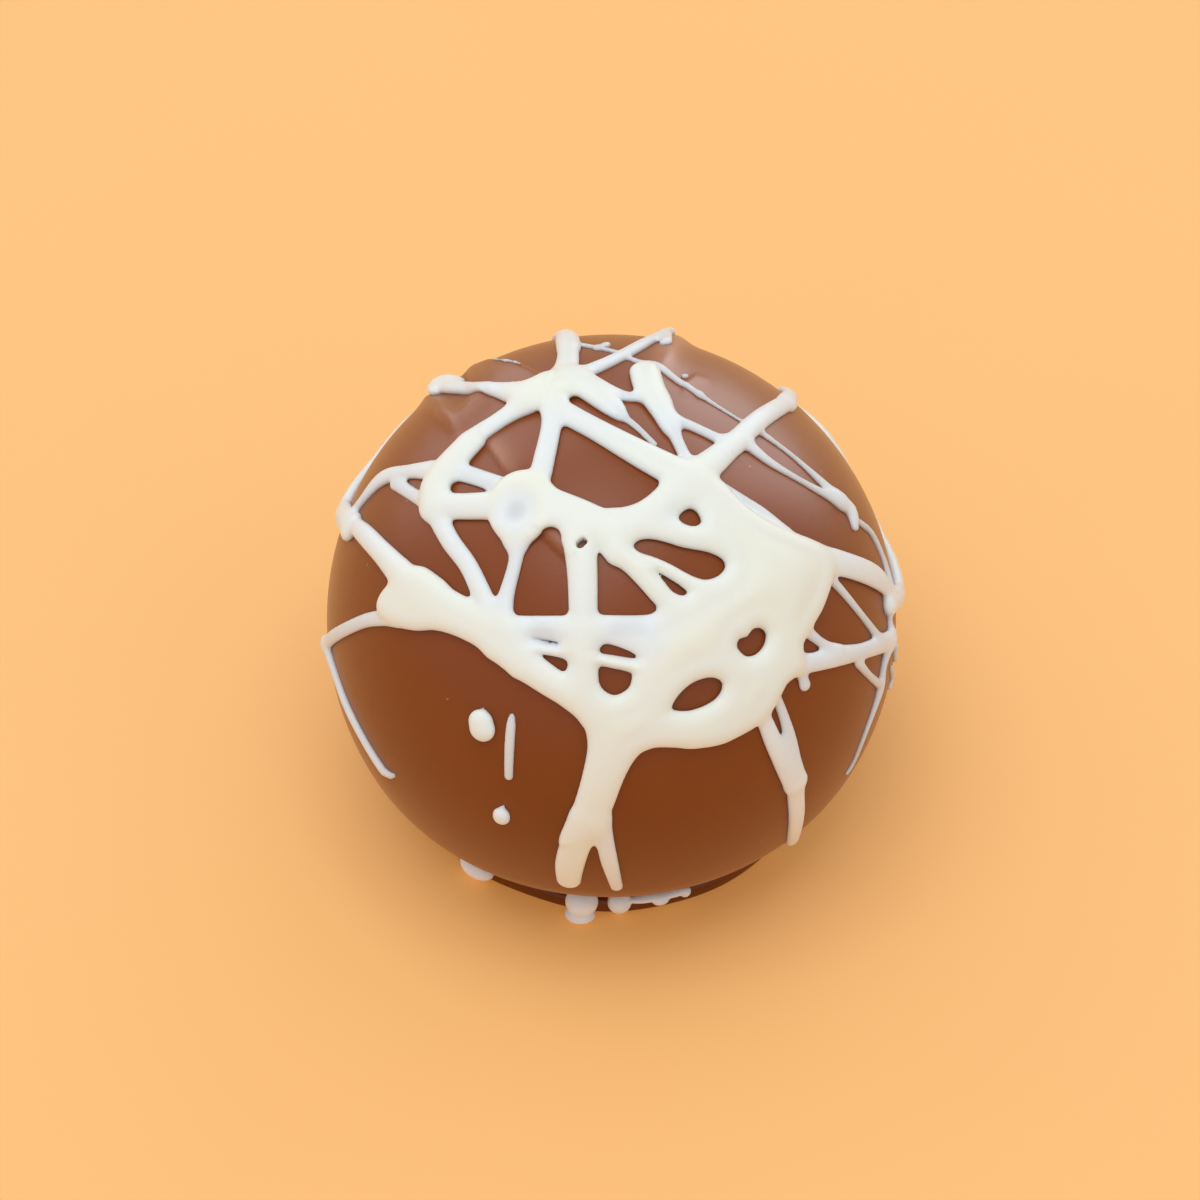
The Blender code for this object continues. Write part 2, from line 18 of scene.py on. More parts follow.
import bpy
import numpy as np
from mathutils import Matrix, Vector


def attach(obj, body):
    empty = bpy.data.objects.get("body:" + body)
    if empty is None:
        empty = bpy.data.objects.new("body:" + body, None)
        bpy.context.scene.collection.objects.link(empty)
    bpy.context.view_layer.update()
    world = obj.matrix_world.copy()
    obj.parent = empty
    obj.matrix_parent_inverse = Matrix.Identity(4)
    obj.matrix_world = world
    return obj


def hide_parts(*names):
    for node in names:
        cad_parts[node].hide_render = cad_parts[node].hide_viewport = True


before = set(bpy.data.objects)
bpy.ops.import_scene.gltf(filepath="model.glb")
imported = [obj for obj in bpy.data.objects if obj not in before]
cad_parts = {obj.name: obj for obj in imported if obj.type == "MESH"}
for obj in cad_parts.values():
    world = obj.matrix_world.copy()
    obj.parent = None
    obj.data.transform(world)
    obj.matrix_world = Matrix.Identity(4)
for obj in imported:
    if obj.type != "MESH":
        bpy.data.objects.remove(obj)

MM = 0.001
LOG = logging.getLogger("truffle")

Array = np.ndarray
Tone = tuple[float, float, float, float]
Place = tuple[float, float]
Ring = tuple[Place, ...]
Spot = tuple[float, float, float]
Knots = tuple[Spot, ...]
Feed = float | Tone | bpy.types.NodeSocket


def unit(vectors: Array) -> Array:
    """The rows of an array, each scaled to length one."""
    return vectors / np.linalg.norm(vectors, axis=-1, keepdims=True)


def tone(red: int, green: int, blue: int) -> Tone:
    """A display colour of 0 to 255 a channel, as the linear colour that shaders take."""
    shares = [value / 255.0 for value in (red, green, blue)]
    linear = [s / 12.92 if s <= 0.04045 else ((s + 0.055) / 1.055) ** 2.4 for s in shares]
    return (*linear, 1.0)


def curve_point(before: Array, start: Array, stop: Array, after: Array, t: float) -> Array:
    """The point t of the way from start to stop on the smooth curve through four places."""
    bend = (stop - before) * t + (2 * before - 5 * start + 4 * stop - after) * t**2
    bend += (3 * start - before - 3 * stop + after) * t**3
    return start + bend / 2


def through(knots: Knots, pitch: float) -> Array:
    """A smooth curve through knots, as rows of x, y and width.

    Args:
        knots: x, y and width at each knot.
        pitch: the widest spacing of the rows.

    Returns:
        The rows, ends included.
    """
    ends = np.array([knots[0], *knots, knots[-1]], dtype=float)
    rows = []
    for four in zip(ends, ends[1:], ends[2:], ends[3:]):
        pieces = max(2, math.ceil(math.dist(four[1][:2], four[2][:2]) / pitch))
        rows += [curve_point(*four, t) for t in np.arange(pieces) / pieces]
    rows.append(ends[-1])
    return np.array(rows)


def closed_through(places: Ring, pitch: float) -> Array:
    """A smooth closed curve through places, as rows of x and y."""
    ring = np.array(places, dtype=float)
    rows = []
    for index in range(len(ring)):
        four = [ring[(index + step) % len(ring)] for step in (-1, 0, 1, 2)]
        pieces = max(1, math.ceil(math.dist(four[1], four[2]) / pitch))
        rows += [curve_point(*four, t) for t in np.arange(pieces) / pieces]
    return np.array(rows)


def within(places: Array, ring: Array) -> Array:
    """Which places lie inside a closed ring of x and y rows."""
    x, y = places[:, :1], places[:, 1:]
    x0, y0 = ring[:, 0], ring[:, 1]
    x1, y1 = np.roll(x0, -1), np.roll(y0, -1)
    spans = (y0 > y) != (y1 > y)
    rise = np.where(y1 == y0, 1e-9, y1 - y0)
    left_of = x < x0 + (y - y0) * (x1 - x0) / rise
    return (spans & left_of).sum(axis=1) % 2 == 1


def soft_min(a: Array, b: Array, blend: Array | float) -> Array:
    """The lower of two fields, rounded where they come within blend of each other."""
    near = np.maximum(blend - np.abs(a - b), 0.0)
    return np.minimum(a, b) - near * near / (4.0 * np.maximum(blend, 1e-6))


def nearest(points: Array, starts: Array, runs: Array) -> tuple[Array, Array]:
    """Where each straight length passes nearest to each point.

    Args:
        points: rows of coordinates.
        starts: the start of each length.
        runs: from the start to the end of each length.

    Returns:
        The share of each length that lies before its nearest place, and the distance to it,
        with a row for each point.
    """
    squared = np.maximum((runs**2).sum(axis=1), 1e-9)
    rel = points[:, None, :] - starts[None]
    share = np.clip(np.einsum("msk,sk->ms", rel, runs) / squared, 0.0, 1.0)
    off = rel - share[..., None] * runs[None]
    return share, np.sqrt((off**2).sum(axis=2))


@dataclass(frozen=True)
class Card:
    """The card that the drizzle is drawn on, and the throw from it onto the coat."""

    elevation: float = 50.0
    reach: float = 450.0
    height: float = 13.0

    @property
    def right(self) -> Array:
        """The card's x direction."""
        return np.array((1.0, 0.0, 0.0))

    @property
    def up(self) -> Array:
        """The card's y direction."""
        lean = math.radians(self.elevation)
        return np.array((0.0, math.sin(lean), math.cos(lean)))

    @property
    def towards(self) -> Array:
        """From the card to where strands are thrown from."""
        lean = math.radians(self.elevation)
        return np.array((0.0, -math.cos(lean), math.sin(lean)))

    @property
    def middle(self) -> Array:
        """The card's origin."""
        return np.array((0.0, 0.0, self.height))

    @property
    def eye(self) -> Array:
        """Where strands are thrown from."""
        return self.middle + self.towards * self.reach

    def place(self, points: Array) -> Array:
        """Card x and y of points in space."""
        seen = points - self.eye
        scale = self.reach / -(seen @ self.towards)
        return np.stack((seen @ self.right * scale, seen @ self.up * scale), axis=-1)


class Fold(Enum):
    """Ways in which the coat folded or was touched while it set."""

    RIDGE = "ridge"
    LEDGE = "ledge"


@dataclass(frozen=True)
class Crease:
    """One mark in the coat, along a path on the card."""

    kind: Fold
    path: Ring
    width: float
    height: float
    # pale: how strongly the crease's crest is painted lighter, a painted highlight
    pale: float = 0.0
    sharpness: float = 0.12
    ridge_end: float = 0.04  # a ridge ends as high as it stands at this share of its length
    taper: float = 0.6  # the lower, the blunter both ends are

    def relief(self, places: Array) -> Array:
        """How far the coat stands out at card places.

        Args:
            places: rows of card x and y.

        Returns:
            The added height at each place.
        """
        knots = np.array(self.path)
        starts = knots[:-1]
        runs = knots[1:] - starts
        lengths = np.linalg.norm(runs, axis=1)
        along, far = nearest(places, starts, runs)
        best = np.argmin(far, axis=1)
        rows = np.arange(len(places))
        gone_by = np.concatenate(((0.0,), np.cumsum(lengths)[:-1]))
        share = (gone_by[best] + along[rows, best] * lengths[best]) / lengths.sum()
        end = self.ridge_end if self.kind is Fold.RIDGE else 0.0
        fade = np.abs(np.sin(np.pi * np.clip(share, end, 1.0 - end))) ** self.taper
        distance = far[rows, best]
        swell = np.exp(-((distance / self.width) ** 2))
        if self.kind is Fold.RIDGE:
            return self.height * fade * swell
        rel = places - starts[best]
        side = rel[:, 1] * runs[best, 0] - rel[:, 0] * runs[best, 1]
        signed = np.where(side > 0.0, distance, -distance)
        lip = 0.5 - 0.5 * np.tanh(signed / self.sharpness)
        return self.height * fade * lip * swell


@dataclass(frozen=True)
class MilkChocolate:
    """The satin milk chocolate of the coat and foot."""

    # low and high: the coat's colour at the floor and at the top; the darker colour towards the bottom is
    # painted shade
    low: Tone = tone(104, 44, 0)
    high: Tone = tone(130, 59, 5)
    warm: Tone = tone(134, 65, 4)
    # the bloom colour serves the real pale specks and the painted highlight on the crease crests
    bloom_specks_and_highlight: Tone = tone(196, 146, 122)
    roughness: float = 0.36

    def material(self, cast: bpy.types.NodeTree, mottle: bpy.types.NodeTree) -> bpy.types.Material:
        """The coat's material.

        Args:
            cast: the group that gives a cast surface its fine grain.
            mottle: the group that gives broad changes of tone.

        Returns:
            The material.
        """
        bench = Bench("milk chocolate coat")
        clouds = bench.group(mottle, {"Scale": 160.0, "Contrast": 1.6})
        # darker towards the bottom and lighter towards the top: painted shade
        body = bench.mix(self.low, self.high, bench.attribute("lift"))
        blend = bench.mix(body, self.warm, bench.scaled(clouds.outputs["Clouds"], 0.4))
        grain = bench.group(cast, {"Scale": 5200.0, "Speck Scale": 420.0, "Speck Size": 0.035})
        faint = bench.scaled(grain.outputs["Specks"], 0.4)
        # the crests of the creases painted lighter: painted highlight
        crest_lit = bench.mix(blend, self.bloom_specks_and_highlight, bench.scaled(bench.attribute("pale"), 0.6))
        coloured = bench.mix(crest_lit, self.bloom_specks_and_highlight, faint)
        rough = bench.ranged(clouds.outputs["Clouds"], self.roughness - 0.04, self.roughness + 0.05)
        bench.link(coloured, "Base Color")
        bench.link(rough, "Roughness")
        bench.bump(grain.outputs["Height"], 0.00002, 0.35)
        bench.set("Specular IOR Level", 0.4)
        bench.set("Sheen Weight", 0.28)
        bench.set("Sheen Roughness", 0.4)
        bench.set("Sheen Tint", (1.0, 0.6, 0.3, 1.0))
        bench.set("Subsurface Weight", 0.12)
        bench.set("Subsurface Radius", (1.0, 0.35, 0.12))
        bench.set("Subsurface Scale", 0.0012)
        return bench.made


@dataclass(frozen=True)
class WhiteChocolate:
    """The set white chocolate of the drizzle, creamy where thick and cool where thin."""

    thick: Tone = tone(239, 240, 225)
    middling: Tone = tone(232, 237, 239)
    thin: Tone = tone(206, 205, 207)
    # plump: the brightest white, which the drops on the foot take: painted light that makes up for the
    # shade under the ball
    drop_lit_white: Tone = tone(254, 253, 248)
    deepest: float = 1.6  # the depth in millimetres at the end of the colours
    roughness: float = 0.3

    def material(self, cast: bpy.types.NodeTree, mottle: bpy.types.NodeTree) -> bpy.types.Material:
        """The drizzle's material.

        Args:
            cast: the group that gives a cast surface its fine grain.
            mottle: the group that gives broad changes of tone.

        Returns:
            The material.
        """
        bench = Bench("white chocolate drizzle")
        # depth carries painted shade at the strand feet and in hollows, and painted light on the foot
        # drops
        depth = bench.scaled(bench.attribute("depth"), 1.0 / self.deepest)
        clouds = bench.group(mottle, {"Scale": 260.0, "Contrast": 1.2})
        cool = ((0.09, self.thin), (0.29, self.middling))
        ramp = bench.ramp(depth, cool + ((0.53, self.thick), (0.7, self.thick), (0.85, self.drop_lit_white)))
        cooler = bench.mix(ramp, self.middling, bench.scaled(clouds.outputs["Clouds"], 0.25))
        grain = bench.group(cast, {"Scale": 3600.0, "Speck Scale": 300.0, "Speck Size": 0.0})
        rough = bench.ranged(clouds.outputs["Clouds"], self.roughness - 0.03, self.roughness + 0.05)
        bench.link(cooler, "Base Color")
        bench.link(rough, "Roughness")
        bench.bump(grain.outputs["Height"], 0.00001, 0.2)
        bench.set("Specular IOR Level", 0.12)
        bench.set("Subsurface Weight", 0.3)
        bench.set("Subsurface Radius", (1.0, 0.8, 0.55))
        bench.set("Subsurface Scale", 0.0009)
        return bench.made


@dataclass(frozen=True)
class Paper:
    """The plain pale paper that the truffle stands on, with a faint painted glow."""

    colour: Tone = tone(228, 180, 118)
    # the glow is painted light: it lifts the paper's shadow and warms the light thrown back onto the
    # truffle
    glow: Tone = tone(255, 158, 40)
    glow_strength: float = 0.23
    roughness: float = 0.85

    def material(self, mottle: bpy.types.NodeTree) -> bpy.types.Material:
        """The paper's material, with the clouds group for its slight unevenness."""
        bench = Bench("pale paper")
        clouds = bench.group(mottle, {"Scale": 30.0, "Contrast": 1.0})
        deeper = tuple(value * 0.95 for value in self.colour[:3]) + (1.0,)
        bench.link(bench.mix(self.colour, deeper, clouds.outputs["Clouds"]), "Base Color")
        bench.set("Roughness", self.roughness)
        bench.set("Emission Color", self.glow)
        bench.set("Emission Strength", self.glow_strength)
        return bench.made


class Bench:
    """A material under construction, with short calls for the nodes that it uses."""

    def __init__(self, name: str) -> None:
        """Start a material with a plain Principled shader.

        Args:
            name: the finish's name.
        """
        self.made = bpy.data.materials.new(name)
        self.made.use_nodes = True
        self.nodes = self.made.node_tree.nodes
        self.wires = self.made.node_tree.links
        self.shader = self.nodes["Principled BSDF"]

    def set(self, socket: str, value: float | tuple[float, ...]) -> None:
        """Set one of the shader's own sockets."""
        self.shader.inputs[socket].default_value = value

    def link(self, output: bpy.types.NodeSocket, socket: str) -> None:
        """Feed one of the shader's sockets."""
        self.wires.new(output, self.shader.inputs[socket])

    def feed(self, value: Feed, socket: bpy.types.NodeSocket) -> None:
        """Link an output to a socket, or set the socket to a plain value."""
        if isinstance(value, bpy.types.NodeSocket):
            self.wires.new(value, socket)
        else:
            socket.default_value = value

    def group(self, tree: bpy.types.NodeTree, values: dict[str, float]) -> bpy.types.Node:
        """Place a shared node group with its own values."""
        node = self.nodes.new("ShaderNodeGroup")
        node.node_tree = tree
        for name, value in values.items():
            node.inputs[name].default_value = value
        return node

    def attribute(self, name: str) -> bpy.types.NodeSocket:
        """A number stored at each corner of the mesh."""
        node = self.nodes.new("ShaderNodeAttribute")
        node.attribute_name = name
        return node.outputs["Fac"]

    def mix(self, low: Feed, high: Feed, share: Feed) -> bpy.types.NodeSocket:
        """Blend two colours.

        Args:
            low: colour or socket at share 0.
            high: colour or socket at share 1.
            share: number or socket.

        Returns:
            The blended colour.
        """
        node = self.nodes.new("ShaderNodeMix")
        node.data_type = "RGBA"
        self.feed(share, node.inputs[0])
        self.feed(low, node.inputs[6])
        self.feed(high, node.inputs[7])
        return node.outputs[2]

    def ranged(self, value: bpy.types.NodeSocket, low: float, high: float) -> bpy.types.NodeSocket:
        """Spread a value of 0 to 1 between two numbers."""
        node = self.nodes.new("ShaderNodeMapRange")
        self.wires.new(value, node.inputs["Value"])
        node.inputs["To Min"].default_value = low
        node.inputs["To Max"].default_value = high
        return node.outputs["Result"]

    def scaled(self, value: bpy.types.NodeSocket, factor: float) -> bpy.types.NodeSocket:
        """A value times a number."""
        node = self.nodes.new("ShaderNodeMath")
        node.operation = "MULTIPLY"
        self.wires.new(value, node.inputs[0])
        node.inputs[1].default_value = factor
        return node.outputs[0]

    def ramp(
        self, value: bpy.types.NodeSocket, stops: tuple[tuple[float, Tone], ...]
    ) -> bpy.types.NodeSocket:
        """Colours along a value.

        Args:
            value: what the ramp reads.
            stops: value and colour of each stop, low to high.

        Returns:
            The colour.
        """
        node = self.nodes.new("ShaderNodeValToRGB")
        scale = node.color_ramp.elements
        while len(scale) < len(stops):
            scale.new(0.5)
        for element, (place, colour) in zip(scale, stops):
            element.position = place
            element.color = colour
        self.wires.new(value, node.inputs["Fac"])
        return node.outputs["Color"]

    def bump(self, height: bpy.types.NodeSocket, distance: float, strength: float) -> None:
        """Feed the shader's normal from a height."""
        node = self.nodes.new("ShaderNodeBump")
        node.inputs["Strength"].default_value = strength
        node.inputs["Distance"].default_value = distance
        self.wires.new(height, node.inputs["Height"])
        self.wires.new(node.outputs["Normal"], self.shader.inputs["Normal"])


class SharedEffects:
    """The effects that more than one finish uses, each built once as a node group."""

    def __init__(self) -> None:
        """Build both groups."""
        self.cast = self.cast_grain()
        self.mottle = self.broad_mottle()

    @staticmethod
    def tree(name: str, inputs: dict[str, float], outputs: tuple[str, ...]) -> bpy.types.NodeTree:
        """An empty group with named sockets.

        Args:
            name: the group's name.
            inputs: names and first values of its number inputs.
            outputs: names of its number outputs.

        Returns:
            The group's node tree.
        """
        made = bpy.data.node_groups.new(name, "ShaderNodeTree")
        for label, value in inputs.items():
            socket = made.interface.new_socket(label, in_out="INPUT", socket_type="NodeSocketFloat")
            socket.default_value = value
        for label in outputs:
            made.interface.new_socket(label, in_out="OUTPUT", socket_type="NodeSocketFloat")
        return made

    def cast_grain(self) -> bpy.types.NodeTree:
        """Fine grain and stray specks of a chocolate surface that set in the air."""
        made = self.tree(
            "cast grain",
            {"Scale": 4000.0, "Speck Scale": 400.0, "Speck Size": 0.04},
            ("Height", "Specks"),
        )
        nodes, wires = made.nodes, made.links
        given = nodes.new("NodeGroupInput")
        result = nodes.new("NodeGroupOutput")
        where = nodes.new("ShaderNodeTexCoord")
        fine = nodes.new("ShaderNodeTexNoise")
        fine.inputs["Detail"].default_value = 3.0
        fine.inputs["Roughness"].default_value = 0.6
        wires.new(where.outputs["Object"], fine.inputs["Vector"])
        wires.new(given.outputs["Scale"], fine.inputs["Scale"])
        cells = nodes.new("ShaderNodeTexVoronoi")
        wires.new(where.outputs["Object"], cells.inputs["Vector"])
        wires.new(given.outputs["Speck Scale"], cells.inputs["Scale"])
        close = nodes.new("ShaderNodeMath")
        close.operation = "LESS_THAN"
        wires.new(cells.outputs["Distance"], close.inputs[0])
        wires.new(given.outputs["Speck Size"], close.inputs[1])
        wires.new(fine.outputs["Fac"], result.inputs["Height"])
        wires.new(close.outputs[0], result.inputs["Specks"])
        return made

    def broad_mottle(self) -> bpy.types.NodeTree:
        """Broad, soft clouds of tone from 0 to 1."""
        made = self.tree("broad mottle", {"Scale": 150.0, "Contrast": 1.5}, ("Clouds",))
        nodes, wires = made.nodes, made.links
        given = nodes.new("NodeGroupInput")
        result = nodes.new("NodeGroupOutput")
        where = nodes.new("ShaderNodeTexCoord")
        clouds = nodes.new("ShaderNodeTexNoise")
        clouds.inputs["Detail"].default_value = 3.0
        wires.new(where.outputs["Object"], clouds.inputs["Vector"])
        wires.new(given.outputs["Scale"], clouds.inputs["Scale"])
        centred = nodes.new("ShaderNodeMath")
        centred.operation = "SUBTRACT"
        wires.new(clouds.outputs["Fac"], centred.inputs[0])
        centred.inputs[1].default_value = 0.5
        spread = nodes.new("ShaderNodeMath")
        spread.operation = "MULTIPLY_ADD"
        spread.use_clamp = True
        wires.new(centred.outputs[0], spread.inputs[0])
        wires.new(given.outputs["Contrast"], spread.inputs[1])
        spread.inputs[2].default_value = 0.5
        wires.new(spread.outputs[0], result.inputs["Clouds"])
        return made


def mesh_piece(
    name: str, points: Array, faces: Sequence[Sequence[int]], finish: bpy.types.Material
) -> bpy.types.Object:
    """A smooth-shaded object from points in millimetres.

    Args:
        name: the piece's name.
        points: rows of x, y and z in millimetres.
        faces: corner indices of each face.
        finish: its material.

    Returns:
        The object, linked to the scene.
    """
    mesh = bpy.data.meshes.new(name)
    mesh.from_pydata((points * MM).tolist(), [], faces)
    mesh.materials.append(finish)
    mesh.validate()
    mesh.shade_smooth()
    piece = bpy.data.objects.new(name, mesh)
    bpy.context.scene.collection.objects.link(piece)
    return piece


def store(piece: bpy.types.Object, name: str, values: Array) -> None:
    """Keep a value for each point of a piece, for its finish to read."""
    layer = piece.data.attributes.new(name, "FLOAT", "POINT")
    layer.data.foreach_set("value", values.astype(np.float32))


@dataclass(frozen=True)
class Swell:
    """A broad rise of the ball, or a hollow where the height is negative; angles in degrees."""

    azimuth: float
    latitude: float
    spread: float
    height: float

    def lift(self, directions: Array) -> Array:
        """How much further out the ball stands along unit vectors."""
        azimuth, latitude = math.radians(self.azimuth), math.radians(self.latitude)
        level = math.cos(latitude)
        crest = np.array((level * math.cos(azimuth), level * math.sin(azimuth), math.sin(latitude)))
        angle = np.degrees(np.arccos(np.clip(directions @ crest, -1.0, 1.0)))
        return self.height * np.exp(-((angle / self.spread) ** 2))


@dataclass
class Coat:
    """The ball of milk chocolate and the foot that it settled onto."""

    card: Card
    ball_radius: float = 16.0
    ball_middle: float = 12.5
    sag_start: float = -20.0
    sag_radius: float = 8.0
    sag_end: float = -62.0
    neck_radius: float = 10.55
    neck_height: float = 1.6
    foot_radius: float = 11.3
    foot_height: float = 0.95
    foot_rounding: float = 0.3
    neck_pull: Place = (0.15, 0.3)  # how far the neck's curve is drawn out and up
    foot_pull: Place = (-0.05, 0.12)  # how far the foot's upper curve is drawn out and up
    underside: tuple[float, ...] = (0.96, 0.85, 0.6, 0.3, 0.0)  # rings, as shares of the foot
    steps_round: int = 420
    steps_down: int = 190
    steps_neck: int = 8
    steps_rim: int = 12
    relief_fade: float = 8.0  # degrees over which relief comes in above the end of the sag
    throws: int = 3  # rounds in which a throw settles onto the swells
    crease_reach: float = 2.5  # how far from its path a crease is felt, in widths
    crease_tail: float = 0.4  # how far behind the outline creases run out, as a share of the radius
    swells: tuple[Swell, ...] = (
        Swell(20.0, 30.0, 34.0, -0.16),
        Swell(-132.0, -22.0, 30.0, 0.10),
        Swell(150.0, 35.0, 26.0, 0.10),
        Swell(95.0, 10.0, 30.0, -0.10),
        Swell(55.0, -5.0, 24.0, 0.10),
    )
    # count, swing, turn
    foot_lobes: tuple[tuple[int, float, float], ...] = ((2, 0.20, 0.0), (5, 0.07, 1.1), (9, 0.05, 2.3))
    creases: tuple[Crease, ...] = (
        Crease(
            Fold.LEDGE,
            ((-8.3, 13.7), (-6.8, 14.05), (-5.4, 13.9), (-4.3, 13.45), (-3.0, 13.0)),
            1.7,
            0.5,
            0.3,
        ),
        Crease(
            Fold.RIDGE, ((-10.6, 12.0), (-9.6, 11.5), (-8.9, 10.8), (-8.5, 10.0)), 0.5, 0.48, 0.5
        ),
        Crease(Fold.RIDGE, ((-6.9, 12.3), (-7.8, 11.6), (-8.5, 10.8)), 0.4, 0.42, 0.45),
        Crease(Fold.LEDGE, ((-5.7, 7.6), (-6.3, 8.4), (-6.9, 9.3), (-7.3, 10.0)), 0.9, 0.28, 0.75),
        Crease(Fold.LEDGE, ((-2.3, 2.9), (-2.9, 3.5), (-3.6, 4.2), (-4.3, 4.9)), 1.1, 0.22, 0.45),
        Crease(Fold.RIDGE, ((2.4, 13.4), (3.1, 14.4), (3.6, 15.3), (3.9, 16.3)), 0.8, 0.42, 0.9),
        Crease(Fold.LEDGE, ((3.9, 12.2), (4.1, 13.0), (4.7, 13.4), (5.8, 13.1)), 0.7, 0.1, 0.35),
        Crease(Fold.RIDGE, ((-5.85, -4.6), (-5.8, -5.8)), 0.12, 0.05, 0.0),
    )

    @property
    def middle(self) -> Array:
        """The ball's middle."""
        return np.array((0.0, 0.0, self.ball_middle))

    @property
    def sag_offset(self) -> float:
        """From the ball's middle to the middle of the tighter curve that it sags along."""
        return self.ball_radius - self.sag_radius

    def plain_radius(self, directions: Array) -> Array:
        """Distance from the ball's middle to the coat with no swells or creases."""
        turn = np.arcsin(np.clip(directions[:, 2], -1.0, 1.0)) - math.radians(self.sag_start)
        reach = np.maximum(self.sag_radius**2 - (self.sag_offset * np.sin(turn)) ** 2, 0.0)
        sagged = self.sag_offset * np.cos(turn) + np.sqrt(reach)
        return np.where(turn < 0.0, sagged, self.ball_radius)

    def smooth_radius(self, directions: Array) -> Array:
        """Distance from the ball's middle to the coat, its broad swells included.

        Args:
            directions: rows of unit vectors from the ball's middle.

        Returns:
            The distance along each.
        """
        radius = self.plain_radius(directions)
        for swell in self.swells:
            radius = radius + swell.lift(directions)
        return radius

    def radius(self, directions: Array) -> Array:
        """Distance from the ball's middle to the coat, its creases included."""
        radius = self.smooth_radius(directions)
        shown = self.shown(directions)
        places = self.card.place(self.middle + directions * radius[:, None])
        for crease in self.creases:
            knots = np.array(crease.path)
            reach = crease.width * self.crease_reach
            near = np.all(places > knots.min(axis=0) - reach, axis=1)
            near &= np.all(places < knots.max(axis=0) + reach, axis=1) & (shown > 0.0)
            if near.any():
                radius[near] += crease.relief(places[near]) * shown[near]
        return radius

    def shown(self, directions: Array) -> Array:
        """How far creases carry on along unit vectors: 1 on the card's side, fading to 0 behind."""
        share = np.clip(directions @ self.card.towards / self.crease_tail + 1.0, 0.0, 1.0)
        return share * share * (3.0 - 2.0 * share)

    def crest_highlight(self, points: Array) -> Array:
        """How strongly the crests of the creases are painted lighter at points of it, from 0 to 1: a
        painted highlight.
        """
        shown = self.shown(unit(points - self.middle))
        facing = (shown > 0.0) & (points[:, 2] > self.neck_height)
        places = self.card.place(points)
        pale = np.zeros(len(points))
        for crease in self.creases:
            if crease.pale > 0.0:
                share = crease.relief(places[facing]) / crease.height * shown[facing]
                pale[facing] = np.maximum(pale[facing], share * crease.pale)
        return pale

    def under(self, x: Array, y: Array) -> Array:
        """Unit vectors from the ball's middle to the coat under card places.

        Args:
            x: card x of each place.
            y: card y of each place.

        Returns:
            Rows of unit vectors.
        """
        card = self.card
        target = card.middle + x[:, None] * card.right + y[:, None] * card.up
        ray = unit(target - card.eye)
        along = (self.middle - card.eye) @ ray.T
        abreast = card.eye + ray * along[:, None] - self.middle
        closest = np.linalg.norm(abreast, axis=1)
        past = np.maximum(closest / self.ball_radius - 1.0, 0.0)
        wrapped = unit(abreast) * np.cos(past)[:, None] + ray * np.sin(past)[:, None]
        radius = np.full(len(x), self.ball_radius)
        for _ in range(self.throws):
            inside = radius**2 - closest**2
            depth = np.sqrt(np.maximum(inside, 0.0))
            met = unit(abreast - ray * depth[:, None])
            direction = np.where((inside > 0.0)[:, None], met, wrapped)
            radius = self.smooth_radius(direction)
        return direction

    def profile(self) -> Array:
        """The turned outline from the crown to the middle of the underside.

        Returns:
            Rows of distance from the axis and height.
        """
        rows = []
        sag = math.radians(self.sag_start)
        for angle in np.linspace(math.pi / 2, math.radians(self.sag_end), self.steps_down):
            sags = angle < sag
            radius = self.sag_radius if sags else self.ball_radius
            offset = self.sag_offset if sags else 0.0
            up = offset * math.sin(sag) + radius * math.sin(angle)
            rows.append((offset * math.cos(sag) + radius * math.cos(angle), self.ball_middle + up))
        belly = rows[-1]
        lip = (self.foot_radius - self.foot_rounding, self.foot_height)
        neck = (self.neck_radius, self.neck_height)
        above_neck = (neck[0] + self.neck_pull[0], neck[1] + self.neck_pull[1])
        over_foot = (neck[0] + self.foot_pull[0], lip[1] + self.foot_pull[1])
        for start, stop, pull in ((belly, neck, above_neck), (neck, lip, over_foot)):
            shares = np.linspace(0.0, 1.0, self.steps_neck + 1)[1:]
            rows += [self.bend(start, stop, pull, share) for share in shares]
        for angle in np.linspace(math.pi / 2, -math.pi / 2, self.steps_rim + 1)[1:]:
            swing = self.foot_rounding if angle > 0.0 else self.foot_rounding / 2
            low = self.foot_height - self.foot_rounding if angle > 0.0 else self.foot_rounding / 2
            across = self.foot_radius - swing + swing * math.cos(angle)
            rows.append((across, low + swing * math.sin(angle)))
        rows += [(self.foot_radius * share, 0.0) for share in self.underside]
        return np.array(rows)

    @staticmethod
    def bend(start: Place, stop: Place, pull: Place, share: float) -> Place:
        """A point on the arc from start to stop that leans towards pull."""
        first, middle, last = (1.0 - share) ** 2, 2.0 * share * (1.0 - share), share**2
        return (
            first * start[0] + middle * pull[0] + last * stop[0],
            first * start[1] + middle * pull[1] + last * stop[1],
        )

    def settle(self, points: Array) -> Array:
        """Turned points, moved out to the coat's relief or the foot's lobes.

        Args:
            points: rows of x, y and z of the turned body.

        Returns:
            The moved rows.
        """
        out = points.copy()
        low = points[:, 2] <= self.neck_height + 0.01  # the neck's own ring included
        direction = unit(points[~low] - self.middle)
        latitude = np.degrees(np.arcsin(np.clip(direction[:, 2], -1.0, 1.0)))
        grown = self.radius(direction) - self.plain_radius(direction)
        fade = np.clip((latitude - self.sag_end) / self.relief_fade, 0.0, 1.0)
        out[~low] += direction * (grown * fade)[:, None]
        azimuth = np.arctan2(points[low, 1], points[low, 0])
        lobes = self.foot_lobes
        growth = sum(swing * np.cos(count * azimuth + turn) for count, swing, turn in lobes)
        out[low, :2] *= (1.0 + growth / self.foot_radius)[:, None]
        return out

